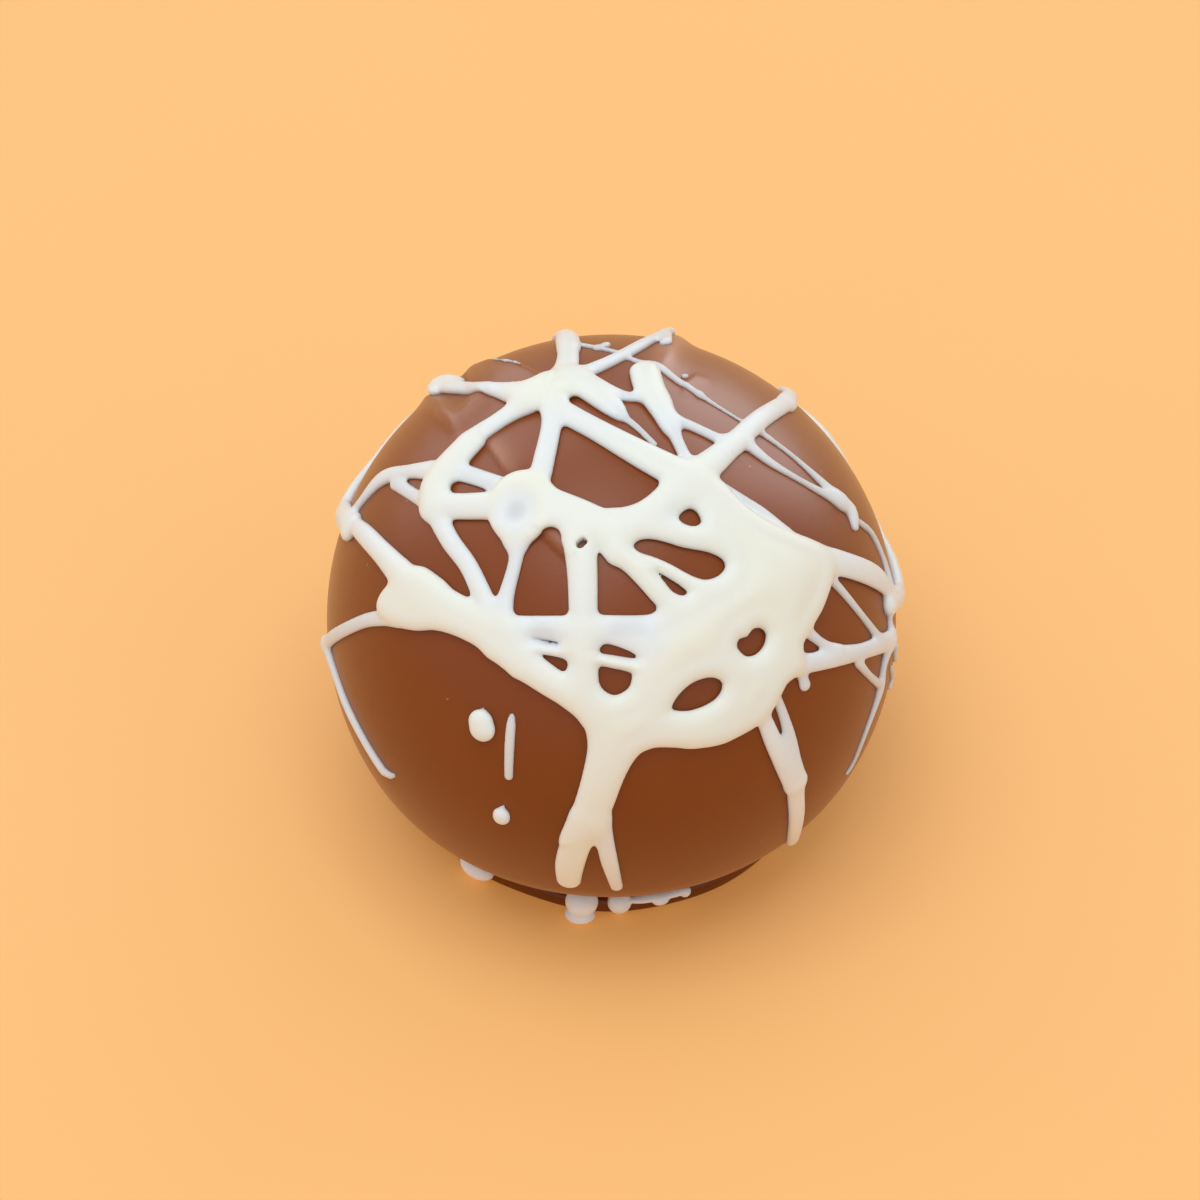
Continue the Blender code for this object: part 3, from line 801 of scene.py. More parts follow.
    def build(self, finish: bpy.types.Material) -> bpy.types.Object:
        """The coat and foot as one closed turned mesh.

        Args:
            finish: the milk chocolate.

        Returns:
            The piece.
        """
        outline = self.profile()
        angles = np.linspace(0.0, 2.0 * math.pi, self.steps_round, endpoint=False)
        rings = outline[1:-1]
        grid = np.empty((len(rings), self.steps_round, 3))
        grid[..., 0] = rings[:, :1] * np.cos(angles)
        grid[..., 1] = rings[:, :1] * np.sin(angles)
        grid[..., 2] = rings[:, 1:]
        points = np.concatenate((grid.reshape(-1, 3), ((0, 0, outline[0, 1]), (0, 0, 0.0))))
        points = self.settle(points)
        around = self.steps_round
        top, bottom = len(points) - 2, len(points) - 1
        faces = []
        for column in range(around):
            beside = (column + 1) % around
            faces.append((top, column, beside))
            for row in range(len(rings) - 1):
                upper, lower = row * around, (row + 1) * around
                faces.append((upper + column, lower + column, lower + beside, upper + beside))
            last = (len(rings) - 1) * around
            faces.append((last + column, bottom, last + beside))
        piece = mesh_piece("milk_chocolate_coat", points, faces, finish)
        # pale: the painted highlight on the crests of the creases
        store(piece, "pale", self.crest_highlight(points))
        # lift: the share of the height over the floor, which the coat's colour follows from dark to light
        # as painted shade
        store(piece, "lift", np.clip(points[:, 2] / (2.0 * self.ball_middle), 0.0, 1.0))
        return piece


class Body(Enum):
    """How full a strand ran: its share of the usual height."""

    PROUD = 1.12
    FULL = 1.0
    SLACK = 0.82
    FILM = 0.6


@dataclass(frozen=True)
class Strand:
    """One run of white chocolate on the card: x, y and width at its knots."""

    knots: Knots
    body: Body = Body.FULL


@dataclass(frozen=True)
class Sheet:
    """A wide run of white chocolate on the card: its outline, and the holes left in it."""

    outline: Ring
    holes: tuple[Ring, ...] = ()
    body: Body = Body.FULL


@dataclass(frozen=True)
class Swelling:
    """A place where the drizzle stands higher, or lower where the height is negative."""

    x: float
    y: float
    spread: float
    height: float


@dataclass(frozen=True)
class Drop:
    """A drop on the foot: its middle, and its radii along the rim, outwards and upwards."""

    place: Spot
    radii: Spot

    def field(self, points: Array) -> Array:
        """How far points lie outside the drop."""
        turn = math.atan2(self.place[1], self.place[0])
        outwards = np.array((math.cos(turn), math.sin(turn), 0.0))
        along = np.array((-outwards[1], outwards[0], 0.0))
        rel = points - np.array(self.place)
        shares = np.stack((rel @ along, rel @ outwards, rel[:, 2]), axis=1) / np.array(self.radii)
        return (np.linalg.norm(shares, axis=1) - 1.0) * min(self.radii)


@dataclass(frozen=True)
class BackWave:
    """A strand that weaves across the far side from right to left; clock angles in degrees."""

    past: float  # how far past the ball's outline its middle lies
    swing: float
    width: float
    waves: float
    ends_past: float  # how far past the outline its ends lie
    start: float
    stop: float


@dataclass(frozen=True)
class BackRun:
    """A run down the far side, at a clock angle in degrees, from start to stop past the outline."""

    clock: float
    start: float
    stop: float
    width: float


@dataclass(frozen=True)
class Pinhole:
    """A small hole through the drizzle where air popped, drawn out from one place to the next."""

    start: Place
    stop: Place
    radius: float


@dataclass(frozen=True)
class Rim:
    """The thrown outline of a sheet, or of a hole in it."""

    sheet: Sheet
    is_hole: bool
    drawn: Array
    spots: Array
    runs: Array


CROWN = (
    Strand(((-2.7, 13.5, 1.5), (-2.5, 14.4, 1.25), (-2.5, 15.5, 1.15))),
    Strand(
        ((-9.75, 12.6, 1.2), (-9.3, 12.85, 1.2), (-8.0, 12.7, 0.78), (-6.3, 12.5, 1.0))
        + ((-4.6, 12.1, 2.0),),
    ),
    Strand(((-9.7, 12.75, 1.4), (-9.35, 12.95, 1.3), (-8.6, 13.15, 0.5)), Body.PROUD),
    Strand(
        ((-6.5, 14.1, 0.24), (-6.2, 14.05, 0.15), (-5.9, 14.0, 0.28), (-5.55, 13.95, 0.15)),
        Body.SLACK,
    ),
    Strand(((-5.4, 13.93, 0.26), (-5.1, 13.85, 0.2)), Body.SLACK),
    Strand(((-3.7, 13.5, 0.45), (-3.4, 13.65, 0.5), (-3.0, 13.5, 0.5))),
    Strand(((-0.9, 15.08, 0.3), (-0.55, 15.2, 0.42), (-0.3, 15.27, 0.46))),
    Strand(((4.1, 13.5, 0.32), (4.2, 13.5, 0.32))),
    Strand(((-4.9, 12.0, 1.6), (-3.4, 12.55, 2.5), (-2.3, 13.2, 2.0))),
    Strand(
        ((-4.8, 11.8, 1.5), (-6.4, 10.9, 1.15), (-8.1, 9.5, 1.7), (-9.8, 7.5, 2.0), (-10.0, 6.2, 2.0)),
    ),
    Strand(
        ((-3.3, 11.8, 1.4), (-3.45, 10.6, 1.15), (-3.8, 9.0, 1.2), (-4.1, 7.8, 1.3))
        + ((-4.45, 7.15, 1.6),),
    ),
    Strand(((-3.2, 11.6, 1.4), (-1.0, 10.45, 1.35), (1.5, 9.05, 1.65), (4.4, 7.5, 2.0))),
    Strand(((-2.3, 13.3, 1.6), (-0.9, 12.4, 1.6), (0.0, 11.7, 1.3), (0.45, 11.3, 0.8))),
    Strand(((0.3, 11.4, 0.5), (1.3, 10.7, 0.4), (2.4, 9.65, 0.35)), Body.SLACK),
    Strand(((-1.4, 13.3, 0.8), (0.0, 12.6, 0.75), (1.0, 12.3, 0.65), (2.1, 12.4, 0.8))),
    Strand(((1.85, 13.55, 1.7), (2.1, 12.7, 1.75), (2.6, 11.9, 1.6), (3.3, 10.6, 1.0))),
    Strand(((3.3, 10.7, 0.9), (3.85, 9.5, 0.68), (4.5, 8.1, 0.9))),
    Strand(((3.1, 11.1, 0.9), (4.5, 10.65, 0.62), (6.0, 9.95, 0.65), (6.9, 9.6, 0.9))),
    Strand(((-1.9, 13.5, 1.0), (0.0, 14.35, 0.82), (2.0, 15.38, 0.78), (3.2, 15.78, 0.7))),
    Strand(
        ((-2.5, 15.4, 0.35), (0.0, 14.95, 0.3), (1.4, 14.35, 0.35), (2.6, 13.9, 0.45))
        + ((5.0, 12.45, 0.36),),
    ),
    Strand(((5.0, 12.45, 0.36), (5.9, 11.88, 0.24), (7.4, 10.95, 0.2))),
    Strand(((10.0, 12.0, 1.0), (8.4, 11.0, 1.15), (6.7, 9.45, 1.3), (4.9, 7.9, 1.8), (4.3, 7.4, 2.0))),
    Strand(((8.2, 10.5, 0.4), (10.0, 9.2, 0.3), (11.5, 7.87, 0.45), (12.9, 6.45, 0.8))),
    Strand(((7.6, 9.7, 0.8), (9.0, 8.6, 0.5), (11.0, 7.42, 0.38), (12.9, 6.35, 0.7))),
    Strand(((12.7, 6.6, 0.8), (13.5, 5.85, 0.95), (13.8, 4.95, 0.55))),
)
LEFT_SIDE = (
    Strand(
        ((-10.3, 8.1, 1.2), (-11.5, 8.05, 0.85), (-13.0, 7.65, 0.95), (-14.25, 6.35, 0.6))
        + ((-14.9, 5.3, 0.8),),
    ),
    Strand(((-12.3, 7.4, 0.8), (-11.4, 6.8, 0.75), (-10.5, 6.3, 0.9)), Body.SLACK),
    Strand(
        ((-15.2, 5.5, 0.6), (-14.1, 4.55, 1.15), (-12.9, 3.3, 1.35), (-11.4, 1.7, 1.9))
        + ((-10.2, 0.8, 2.4),),
    ),
    Strand(((-10.1, 5.9, 1.2), (-9.2, 4.15, 1.1), (-8.1, 2.6, 1.05), (-7.1, 0.4, 1.2))),
    Strand(((-12.2, -0.2, 1.0), (-14.0, -0.42, 0.8), (-15.8, -1.3, 0.8), (-16.2, -1.9, 0.9)), Body.SLACK),
    Strand(
        ((-16.2, -1.7, 0.9), (-15.85, -3.1, 0.58), (-15.1, -5.2, 0.62), (-14.1, -7.2, 0.6))
        + ((-12.95, -9.0, 0.6), (-12.45, -9.25, 0.28)),
    ),
)
MIDDLE = (
    Strand(((-9.2, 8.15, 1.2), (-8.0, 7.83, 1.0), (-6.4, 7.3, 1.0)), Body.SLACK),
    Strand(((-10.0, 6.1, 1.5), (-8.5, 6.05, 1.5), (-6.7, 6.1, 1.6))),
    Strand(((-5.1, 6.25, 3.7), (-5.12, 5.85, 3.7))),
    Strand(((-5.2, 5.1, 2.4), (-5.4, 4.3, 1.6))),
    Strand(((-2.3, 4.7, 0.6), (-2.5, 4.1, 0.55))),
    Strand(((-5.4, 4.2, 1.2), (-5.5, 3.0, 0.8), (-6.0, 1.1, 0.9), (-6.3, -0.2, 1.4))),
    Strand(
        ((-3.7, 6.05, 2.2), (-2.0, 5.5, 2.0), (-0.5, 4.9, 2.0), (1.0, 5.1, 1.7), (2.5, 5.8, 1.8))
        + ((4.4, 7.4, 2.0),),
    ),
    Strand(
        ((-1.9, 4.8, 1.9), (-1.7, 2.4, 1.65), (-1.65, 0.0, 1.55), (-1.65, -3.0, 1.5))
        + ((-2.0, -4.4, 1.8),),
    ),
    Strand(((-4.9, -1.7, 0.6), (-3.2, -2.05, 0.5), (-2.2, -2.2, 0.6)), Body.SLACK),
    Strand(((-1.2, -2.6, 0.55), (0.0, -2.72, 0.55), (1.7, -3.05, 0.7)), Body.SLACK),
)
RIGHT_SIDE = (
    Strand(((6.5, 7.1, 0.5), (7.6, 6.35, 0.6), (8.5, 5.65, 0.8), (9.8, 4.6, 0.8)), Body.SLACK),
    Strand(((13.9, 5.3, 0.4), (14.75, 4.6, 0.4), (15.45, 3.1, 0.4), (15.8, 1.6, 0.6))),
    Strand(
        (
            (11.0, 3.1, 1.9),
            (13.0, 2.8, 1.5),
            (15.0, 2.0, 1.4),
            (15.8, 0.9, 0.9),
            (15.8, -0.3, 0.5),
            (15.9, -1.3, 0.9),
        ),
        Body.SLACK,
    ),
    Strand(((12.2, 2.2, 0.6), (13.1, 1.25, 0.5), (14.4, -0.35, 0.44), (15.3, -1.6, 0.6))),
    Strand(((10.8, -0.8, 0.8), (11.8, -1.6, 0.55), (12.7, -2.2, 0.8))),
    Strand(
        ((10.0, -2.8, 1.4), (11.2, -2.8, 1.1), (12.6, -2.45, 1.2), (14.2, -2.15, 0.95))
        + ((15.8, -1.5, 1.2),),
        Body.SLACK,
    ),
    Strand(((10.6, -3.0, 0.7), (10.8, -3.6, 0.62), (10.95, -4.05, 0.74)), Body.SLACK),
    Strand(((14.0, -2.8, 0.6), (14.6, -3.5, 0.45), (15.15, -4.0, 0.5))),
    Strand(
        (
            (15.7, -1.7, 0.9),
            (15.45, -3.0, 0.5),
            (15.25, -4.2, 0.62),
            (14.9, -5.5, 0.42),
            (13.9, -8.2, 0.3),
            (13.4, -9.1, 0.28),
        ),
    ),
    Strand(((16.1, -1.9, 0.5), (16.1, -2.6, 0.4))),
    Strand(((15.9, -3.1, 0.3), (15.95, -3.6, 0.4), (15.8, -4.2, 0.35))),
)
FRONT_RUNS = (
    Strand(
        ((-1.4, -11.6, 1.9), (-2.05, -13.0, 1.7), (-2.4, -14.2, 1.6), (-2.45, -15.05, 1.35)),
    ),
    Strand(
        ((-0.9, -11.6, 1.6), (-0.42, -13.0, 1.05), (-0.15, -14.1, 0.95), (0.25, -15.5, 0.7)),
    ),
    Strand(
        ((8.15, -5.2, 0.9), (8.6, -6.0, 0.92), (9.1, -7.2, 1.02), (9.62, -8.35, 1.08))
        + ((10.2, -9.7, 1.05),),
    ),
    Strand(
        ((9.4, -4.9, 0.55), (9.8, -6.0, 0.62), (10.12, -7.2, 0.76), (10.32, -8.35, 0.88))
        + ((10.5, -9.4, 1.15),),
    ),
    Strand(
        ((10.4, -9.6, 1.15), (10.42, -10.4, 1.08), (10.46, -11.4, 1.02), (10.35, -12.4, 0.9))
        + ((10.2, -13.0, 0.75),),
    ),
    Strand(((-5.72, -5.85, 0.3), (-5.76, -6.3, 0.52), (-5.85, -7.5, 0.56), (-5.9, -9.25, 0.5))),
    Strand(((-7.42, -6.15, 1.45), (-7.35, -6.5, 1.5))),
    Strand(((-7.36, -5.6, 0.3), (-7.3, -5.42, 0.18)), Body.FILM),
    Strand(((-6.28, -11.45, 0.98), (-6.28, -11.55, 0.98))),
    Strand(((-6.26, -11.1, 0.3), (-6.25, -10.92, 0.18)), Body.FILM),
)
POOL_RIM = (
    ((5.3, 8.0), (6.3, 7.3), (7.0, 6.5), (8.0, 5.65), (9.0, 5.05), (9.8, 4.7), (11.0, 4.2), (11.75, 3.75))
    + ((12.25, 3.1), (12.4, 2.2), (12.1, 1.1), (11.75, 0.2), (11.3, -0.6), (10.95, -1.2), (10.7, -1.7))
    + ((10.72, -2.2), (10.75, -2.8), (10.6, -3.3), (10.2, -3.6), (9.75, -4.0), (9.5, -4.5), (9.05, -5.3))
    + ((8.5, -6.0), (7.9, -6.45), (7.0, -6.95), (6.0, -7.38), (4.5, -7.6), (3.5, -7.53), (2.5, -7.52))
)
RUN_RIM = (
    ((2.0, -7.65), (1.6, -7.85), (1.2, -8.3), (0.8, -9.0), (0.5, -9.7), (0.2, -10.5), (-0.1, -11.3))
    + ((-0.3, -12.0), (-0.95, -12.55), (-2.0, -12.9), (-2.9, -12.8), (-2.5, -11.7), (-2.0, -10.2))
    + ((-1.6, -8.7), (-1.4, -7.5), (-1.5, -6.65), (-1.7, -6.3), (-2.0, -5.9), (-2.5, -5.45))
)
BAND_RIM = (
    ((-3.0, -5.1), (-4.0, -4.5), (-5.0, -3.87), (-5.6, -3.57), (-6.0, -3.2), (-6.6, -2.75), (-7.0, -2.5))
    + ((-7.5, -1.98), (-8.0, -1.65), (-9.0, -1.2), (-10.0, -0.95), (-11.0, -0.98), (-12.0, -0.8))
    + ((-12.65, -0.5), (-13.05, -0.1), (-13.15, 0.45), (-12.95, 1.1), (-12.4, 1.75), (-11.6, 2.3))
    + ((-10.6, 2.6), (-9.5, 1.7), (-8.6, 1.13), (-7.9, 0.8), (-7.2, 0.45), (-6.4, 0.1), (-5.5, -0.1))
)
INNER_RIM = (
    ((-4.2, -0.12), (-2.9, -0.12), (-1.6, -0.12), (-0.5, -0.08), (1.0, -0.1), (2.2, -0.02))
    + ((2.5, 0.35), (2.1, 0.85), (1.2, 1.85), (0.5, 2.5), (-0.2, 2.85), (-0.7, 3.6), (-0.8, 4.6))
    + ((-0.3, 5.7), (0.8, 5.9), (1.8, 6.2), (2.6, 6.85), (2.9, 7.5), (3.6, 8.2), (4.6, 8.4))
)
POOL_HOLES = (
    ((3.35, -5.35), (3.75, -4.55), (4.5, -3.9), (5.4, -3.6), (6.05, -3.75), (6.2, -4.2))
    + ((5.85, -4.8), (5.1, -5.25), (4.2, -5.5)),
    ((7.0, -1.9), (7.1, -1.45), (7.55, -1.3), (7.85, -0.9), (8.3, -0.82), (8.65, -1.15))
    + ((8.55, -1.8), (8.1, -2.3), (7.5, -2.4)),
    ((-0.88, -2.05), (-0.5, -1.75), (0.0, -1.78), (1.0, -2.15), (1.38, -2.45), (1.1, -2.65))
    + ((0.0, -2.42), (-0.75, -2.28)),
    ((-0.85, -2.92), (0.0, -3.05), (1.0, -3.25), (1.1, -3.6), (0.9, -4.2), (0.2, -4.6))
    + ((-0.45, -4.35), (-0.85, -3.7)),
    ((-4.45, -1.42), (-3.8, -1.5), (-3.05, -1.66), (-3.1, -1.8), (-3.8, -1.68)),
    ((-4.0, -2.35), (-3.0, -2.47), (-2.5, -2.65), (-2.38, -3.0), (-2.65, -3.3), (-3.1, -3.1)),
    ((1.2, 3.8), (1.5, 4.15), (2.1, 4.2), (2.9, 4.05), (4.0, 3.72), (5.4, 3.45), (6.2, 3.05))
    + ((6.35, 2.6), (6.0, 2.15), (5.3, 1.9), (4.5, 2.1), (3.3, 2.75), (2.4, 3.15), (1.5, 3.45)),
    ((2.55, 2.3), (2.95, 1.75), (3.4, 1.22), (3.95, 1.0), (4.2, 1.2), (3.9, 1.5), (3.3, 1.9)),
    ((3.5, 5.85), (3.75, 6.17), (4.25, 6.08), (4.8, 5.68), (5.0, 5.15), (4.65, 4.9), (4.1, 5.0))
    + ((3.65, 5.4),),
)
SHEETS = (Sheet(POOL_RIM + RUN_RIM + BAND_RIM + INNER_RIM, POOL_HOLES),)

BACK_WAVES = (
    BackWave(6.2, 0.8, 1.3, 3.0, -0.3, 3.0, 161.0),
    BackWave(10.8, 1.2, 1.6, 2.5, 10.8, 18.0, 152.0),
    BackWave(15.5, 1.1, 1.1, 3.5, 15.5, 25.0, 140.0),
)
BACK_RUNS = (
    BackRun(51.0, -0.3, 11.0, 1.0),
    BackRun(79.0, -0.3, 14.0, 0.7),
    BackRun(99.0, -0.5, 17.0, 1.1),
    BackRun(159.0, -0.4, 12.5, 0.8),
    BackRun(12.0, 6.0, 13.0, 0.8),
    BackRun(30.0, 6.5, 17.5, 0.9),
    BackRun(66.0, 6.0, 20.0, 1.4),
    BackRun(115.0, 6.5, 19.5, 1.4),
    BackRun(136.0, 6.0, 16.0, 1.0),
)
PINHOLES = (Pinhole((-1.78, 3.8), (-1.62, 3.95), 0.22),)
FOOT_DROPS = (
    Drop((-1.7, -11.15, 1.0), (0.93, 0.93, 0.9)),
    Drop((-1.8, -11.45, 0.19), (0.9, 0.72, 0.18)),
    Drop((0.42, -11.0, 0.75), (0.68, 0.68, 0.7)),
    Drop((-7.6, -8.4, 0.7), (1.15, 0.75, 0.66)),
    Drop((-9.3, -6.3, 0.86), (0.85, 0.16, 0.12)),
    Drop((2.1, -10.85, 0.95), (1.3, 0.34, 0.2)),
    Drop((2.75, -10.85, 0.72), (0.5, 0.3, 0.32)),
    Drop((3.6, -10.45, 0.92), (0.85, 0.32, 0.18)),
    Drop((4.15, -10.35, 0.76), (0.32, 0.24, 0.3)),
    Drop((8.9, -6.8, 0.86), (0.8, 0.16, 0.12)),
    Drop((4.6, 10.1, 0.6), (1.2, 0.8, 0.55)),
    Drop((-6.5, 8.9, 0.55), (0.9, 0.7, 0.5)),
)


@dataclass
class Drizzle:
    """All the white chocolate, poured as one body that flows together where strands meet."""

    card: Card
    coat: Coat
    pitch: float = 0.12  # spacing of the lattice that the body is worked out on
    first_corner: Spot = (-18.3, -18.3, -0.36)
    lattice_steps: tuple[int, int, int] = (306, 306, 258)
    block: int = 24  # lattice steps in one working block
    settlings: int = 2  # rounds in which net points move onto the surface
    probe: float = 0.03  # how far apart the field is read for its slope
    least_slope: float = 0.5  # flatter places of the field count as this steep
    longest_move: float = 0.6  # in lattice steps, how far a net point moves in one round
    most_triangles: int = 190000
    path_pitch: float = 0.3
    cap_limit: float = 1.15  # the widest runs stand no prouder than this
    cap_slope: float = 0.56  # height over width of the thinnest strands
    fullness: float = 1.08
    undercut: float = 0.26  # height of the widest place over the rim's half width
    rim: float = 0.95  # the roundest edge that a pool has
    rim_height: float = 0.3
    blend: float = 0.42
    least_blend: float = 0.15
    hole_blend: float = 0.2
    drop_blend: float = 0.1
    colour_blend: float = 0.12  # over how much of the field the depths of two runs mix
    crown_height: float = 0.3  # how much higher the middle of a pool stands than its rim
    crown_spread: float = 0.9
    crown_softness: float = 3.0  # per millimetre: how sharply a pool's crest tells its nearest edge
    crown_start: float = 0.35
    sunk: float = 0.35  # how deep the body reaches into the coat
    hollow_film_and_shade: float = 1.5  # how much more a hollow shows in the colour than in the shape: painted shade in the hollow, beyond its thinner film
    edge_film_and_shade: float = 0.42  # how much thinner the colour is at the feet of a strand: partly the thin film there, partly painted shade
    edge_share: float = 0.7  # the share of its height over which that fades
    drop_lit_depth: float = 1.4  # how deep a drop on the foot counts as in the colour, which gives it the brightest white: painted light against the shade under the ball
    sheet_half: float = 2.0  # a sheet is poured like a strand of this half width
    sheet_reach: float = 2.6  # how far past a block a sheet's rim is still felt
    strand_reach: float = 0.9  # how far past a block a strand is still felt
    furthest_back: float = 4.0  # no sheet lies further back than this
    floor_gap: float = 0.02
    tallest: float = 1.7  # no strand stands higher
    margin: float = 0.5  # how far under the body the field is still worked out
    drop_margin: float = 0.3  # how far round a drop it is worked out
    far: float = 5.0  # the field where nothing is near
    wave_knots: int = 13
    wave_plumpness: float = 0.22  # how much a weaving strand swells and thins
    swerve: float = 2.2  # degrees by which a run down the far side strays from straight
    run_waist: float = 0.8
    swellings: tuple[Swelling, ...] = (
        Swelling(-5.35, 5.65, 1.2, -0.42),
        Swelling(-9.6, 12.9, 0.8, 0.2),
        Swelling(3.3, 5.45, 0.6, -0.12),
        Swelling(-4.4, -0.8, 1.1, -0.2),
        Swelling(-3.3, -1.2, 0.9, -0.16),
        Swelling(0.0, -0.9, 1.0, -0.2),
        Swelling(1.6, -0.8, 1.2, -0.22),
        Swelling(-3.4, 12.4, 1.5, 0.1),
        Swelling(9.2, 1.6, 2.2, 0.12),
    )

    def back_wave(self, wave: BackWave) -> Strand:
        """The strand of one weave across the far side."""
        knots = []
        for share in np.linspace(0.0, 1.0, self.wave_knots):
            phase = 2 * math.pi * wave.waves * share
            fade = math.sin(math.pi * share) ** 0.3
            beyond = wave.ends_past + (wave.past - wave.ends_past) * fade
            beyond += wave.swing * fade * math.sin(phase)
            thick = wave.width * (1.0 + self.wave_plumpness * math.sin(1.7 * phase + wave.past))
            clock = wave.start + (wave.stop - wave.start) * share
            knots.append((*self.round_the_outline(clock, beyond), thick))
        return Strand(tuple(knots))

    def back_run(self, run: BackRun) -> Strand:
        """The strand of one run down the far side."""
        halfway = (run.start + run.stop) / 2
        clocks = (run.clock, run.clock + self.swerve, run.clock - self.swerve)
        widths = (run.width, run.width * self.run_waist, run.width)
        places = map(self.round_the_outline, clocks, (run.start, halfway, run.stop))
        return Strand(tuple((*place, width) for place, width in zip(places, widths)))

    def round_the_outline(self, clock: float, past: float) -> Place:
        """Card x and y at a clock angle in degrees, so far past the ball's outline."""
        outline, angle = self.coat.ball_radius + past, math.radians(clock)
        return outline * math.cos(angle), outline * math.sin(angle) - self.card_drop[1]

    @property
    def draw_in(self) -> float:
        """How much nearer the ball's middle a rim's foot is on the card than the rim itself."""
        return self.coat.ball_radius / (self.coat.ball_radius + self.rim_height)

    @property
    def card_drop(self) -> Array:
        """How far below the card's origin the ball's middle shows."""
        lean = math.radians(self.card.elevation)
        return np.array((0.0, (self.card.height - self.coat.ball_middle) * math.cos(lean)))

    def on_coat(self, x: Array, y: Array) -> Array:
        """Points of the coat under card places that are drawn at the height of the rims."""
        drop = self.card_drop[1]
        directions = self.coat.under(x * self.draw_in, (y + drop) * self.draw_in - drop)
        return self.coat.middle + directions * self.coat.radius(directions)[:, None]

    def __post_init__(self) -> None:
        """Throw every strand onto the coat and keep its short straight lengths."""
        shown = CROWN + LEFT_SIDE + MIDDLE + RIGHT_SIDE + FRONT_RUNS
        hidden = tuple(self.back_wave(wave) for wave in BACK_WAVES)
        hidden += tuple(self.back_run(run) for run in BACK_RUNS)
        ropes = shown + hidden
        self.bodies = [strand.body.value for strand in ropes]
        starts, stops, widths, owners = [], [], [], []
        for owner, strand in enumerate(ropes):
            rows = through(strand.knots, self.path_pitch)
            spots = self.on_coat(rows[:, 0], rows[:, 1])
            starts.append(spots[:-1])
            stops.append(spots[1:])
            widths.append(np.stack((rows[:-1, 2], rows[1:, 2]), axis=1) / 2)
            owners.append(np.full(len(spots) - 1, owner))
        self.starts = np.concatenate(starts)
        self.runs = np.concatenate(stops) - self.starts
        self.halves = np.concatenate(widths)
        self.owners = np.concatenate(owners)
        self.middles = self.starts + self.runs / 2
        self.rims = []
        for sheet in SHEETS:
            for number, places in enumerate((sheet.outline, *sheet.holes)):
                ring = closed_through(places, self.path_pitch)
                spots = self.on_coat(ring[:, 0], ring[:, 1])
                runs = np.roll(spots, -1, axis=0) - spots
                self.rims.append(Rim(sheet, number > 0, ring, spots, runs))
        self.pins = []
        for pinhole in PINHOLES:
            pair = np.array((pinhole.start, pinhole.stop))
            self.pins.append((pinhole.radius, *self.on_coat(pair[:, 0], pair[:, 1])))
        marks = np.array([(s.x, s.y) for s in self.swellings])
        self.marks = self.on_coat(marks[:, 0], marks[:, 1])

    def beside(self, feet: Array, chosen: Array) -> tuple[Array, Array]:
        """Distance outside a strand's outline, and its half width there.

        Args:
            feet: points on the coat.
            chosen: which straight lengths make up the strand here.

        Returns:
            Both values at each point; the distance is negative within the outline.
        """
        halves = self.halves[chosen]
        along, far = nearest(feet, self.starts[chosen], self.runs[chosen])
        half = halves[:, 0] + (halves[:, 1] - halves[:, 0]) * along
        outside = far - half
        best = np.argmin(outside, axis=1)
        rows = np.arange(len(feet))
        return outside[rows, best], half[rows, best]

    def slab(
        self, outside: Array, half: Array, height: Array, body: float, inner: Array
    ) -> tuple[Array, Array]:
        """The field of one strand, and how high its top stands.

        Args:
            outside: distance outside its outline on the coat.
            half: its half width.
            height: height of the point over the coat.
            body: its share of the usual height.
            inner: how far in from its rim the point is, as far as the crown goes.

        Returns:
            The field, negative inside, and the top's height.
        """
        edge = np.minimum(half, self.rim)
        top = self.cap_limit * (1.0 - np.exp(-self.cap_slope * 2.0 * edge / self.cap_limit))
        top *= body * self.fullness
        lift = self.undercut * edge
        rise = np.maximum(inner, 0.0) / self.crown_spread
        crown = self.crown_height * rise**2 / (1.0 + rise**2)
        across = np.maximum(outside + edge, 0.0)
        steep = (top - lift) / edge
        field = np.hypot(across, (height - lift - crown * body) / steep) - edge
        return field, top + crown * body

    def sample(self, points: Array) -> tuple[Array, Array]:
        """The drizzle's field and depth at points that lie close together.

        Args:
            points: rows of x, y and z.

        Returns:
            The field, negative inside the white chocolate, and the depth that the colour reads: how deep
            the body is there, made shallower at the feet of strands and in hollows (partly thin film,
            partly painted shade) and deepest on the foot drops (painted light).
        """
        rel = points - self.coat.middle
        reach = np.linalg.norm(rel, axis=1)
        directions = rel / reach[:, None]
        surface = self.coat.radius(directions)
        height = reach - surface
        feet = self.coat.middle + directions * surface[:, None]
        field = np.full(len(points), self.far)
        depth = np.zeros(len(points))
        roundness = np.zeros(len(points))
        centre = feet.mean(axis=0)
        spread = np.linalg.norm(feet - centre, axis=1).max()
        gaps = np.linalg.norm(self.middles - centre, axis=1) - self.halves.max(axis=1)
        near = np.nonzero(gaps < spread + self.strand_reach)[0]
        owners = self.owners[near]
        lift = self.swell(feet)
        raised = height - lift
        for owner in np.unique(owners):
            outside, half = self.beside(feet, near[owners == owner])
            part, top = self.slab(outside, half, raised, self.bodies[owner], half - self.rim)
            field, depth, roundness = self.merge(field, depth, roundness, part, top, half)
        wide = np.full(len(points), self.sheet_half)
        for sheet in SHEETS:
            pool, inner = self.sheet_edge(sheet, feet, centre, spread)
            if pool.min() < 1.0:
                part, top = self.slab(pool, wide, raised, sheet.body.value, inner)
                field, depth, roundness = self.merge(field, depth, roundness, part, top, wide)
        for radius, start, stop in self.pins:
            bore = nearest(feet, start[None], (stop - start)[None])[1][:, 0] - radius
            field = -soft_min(-field, bore, self.hole_blend)
        field = np.maximum(field, -(height + self.sunk))
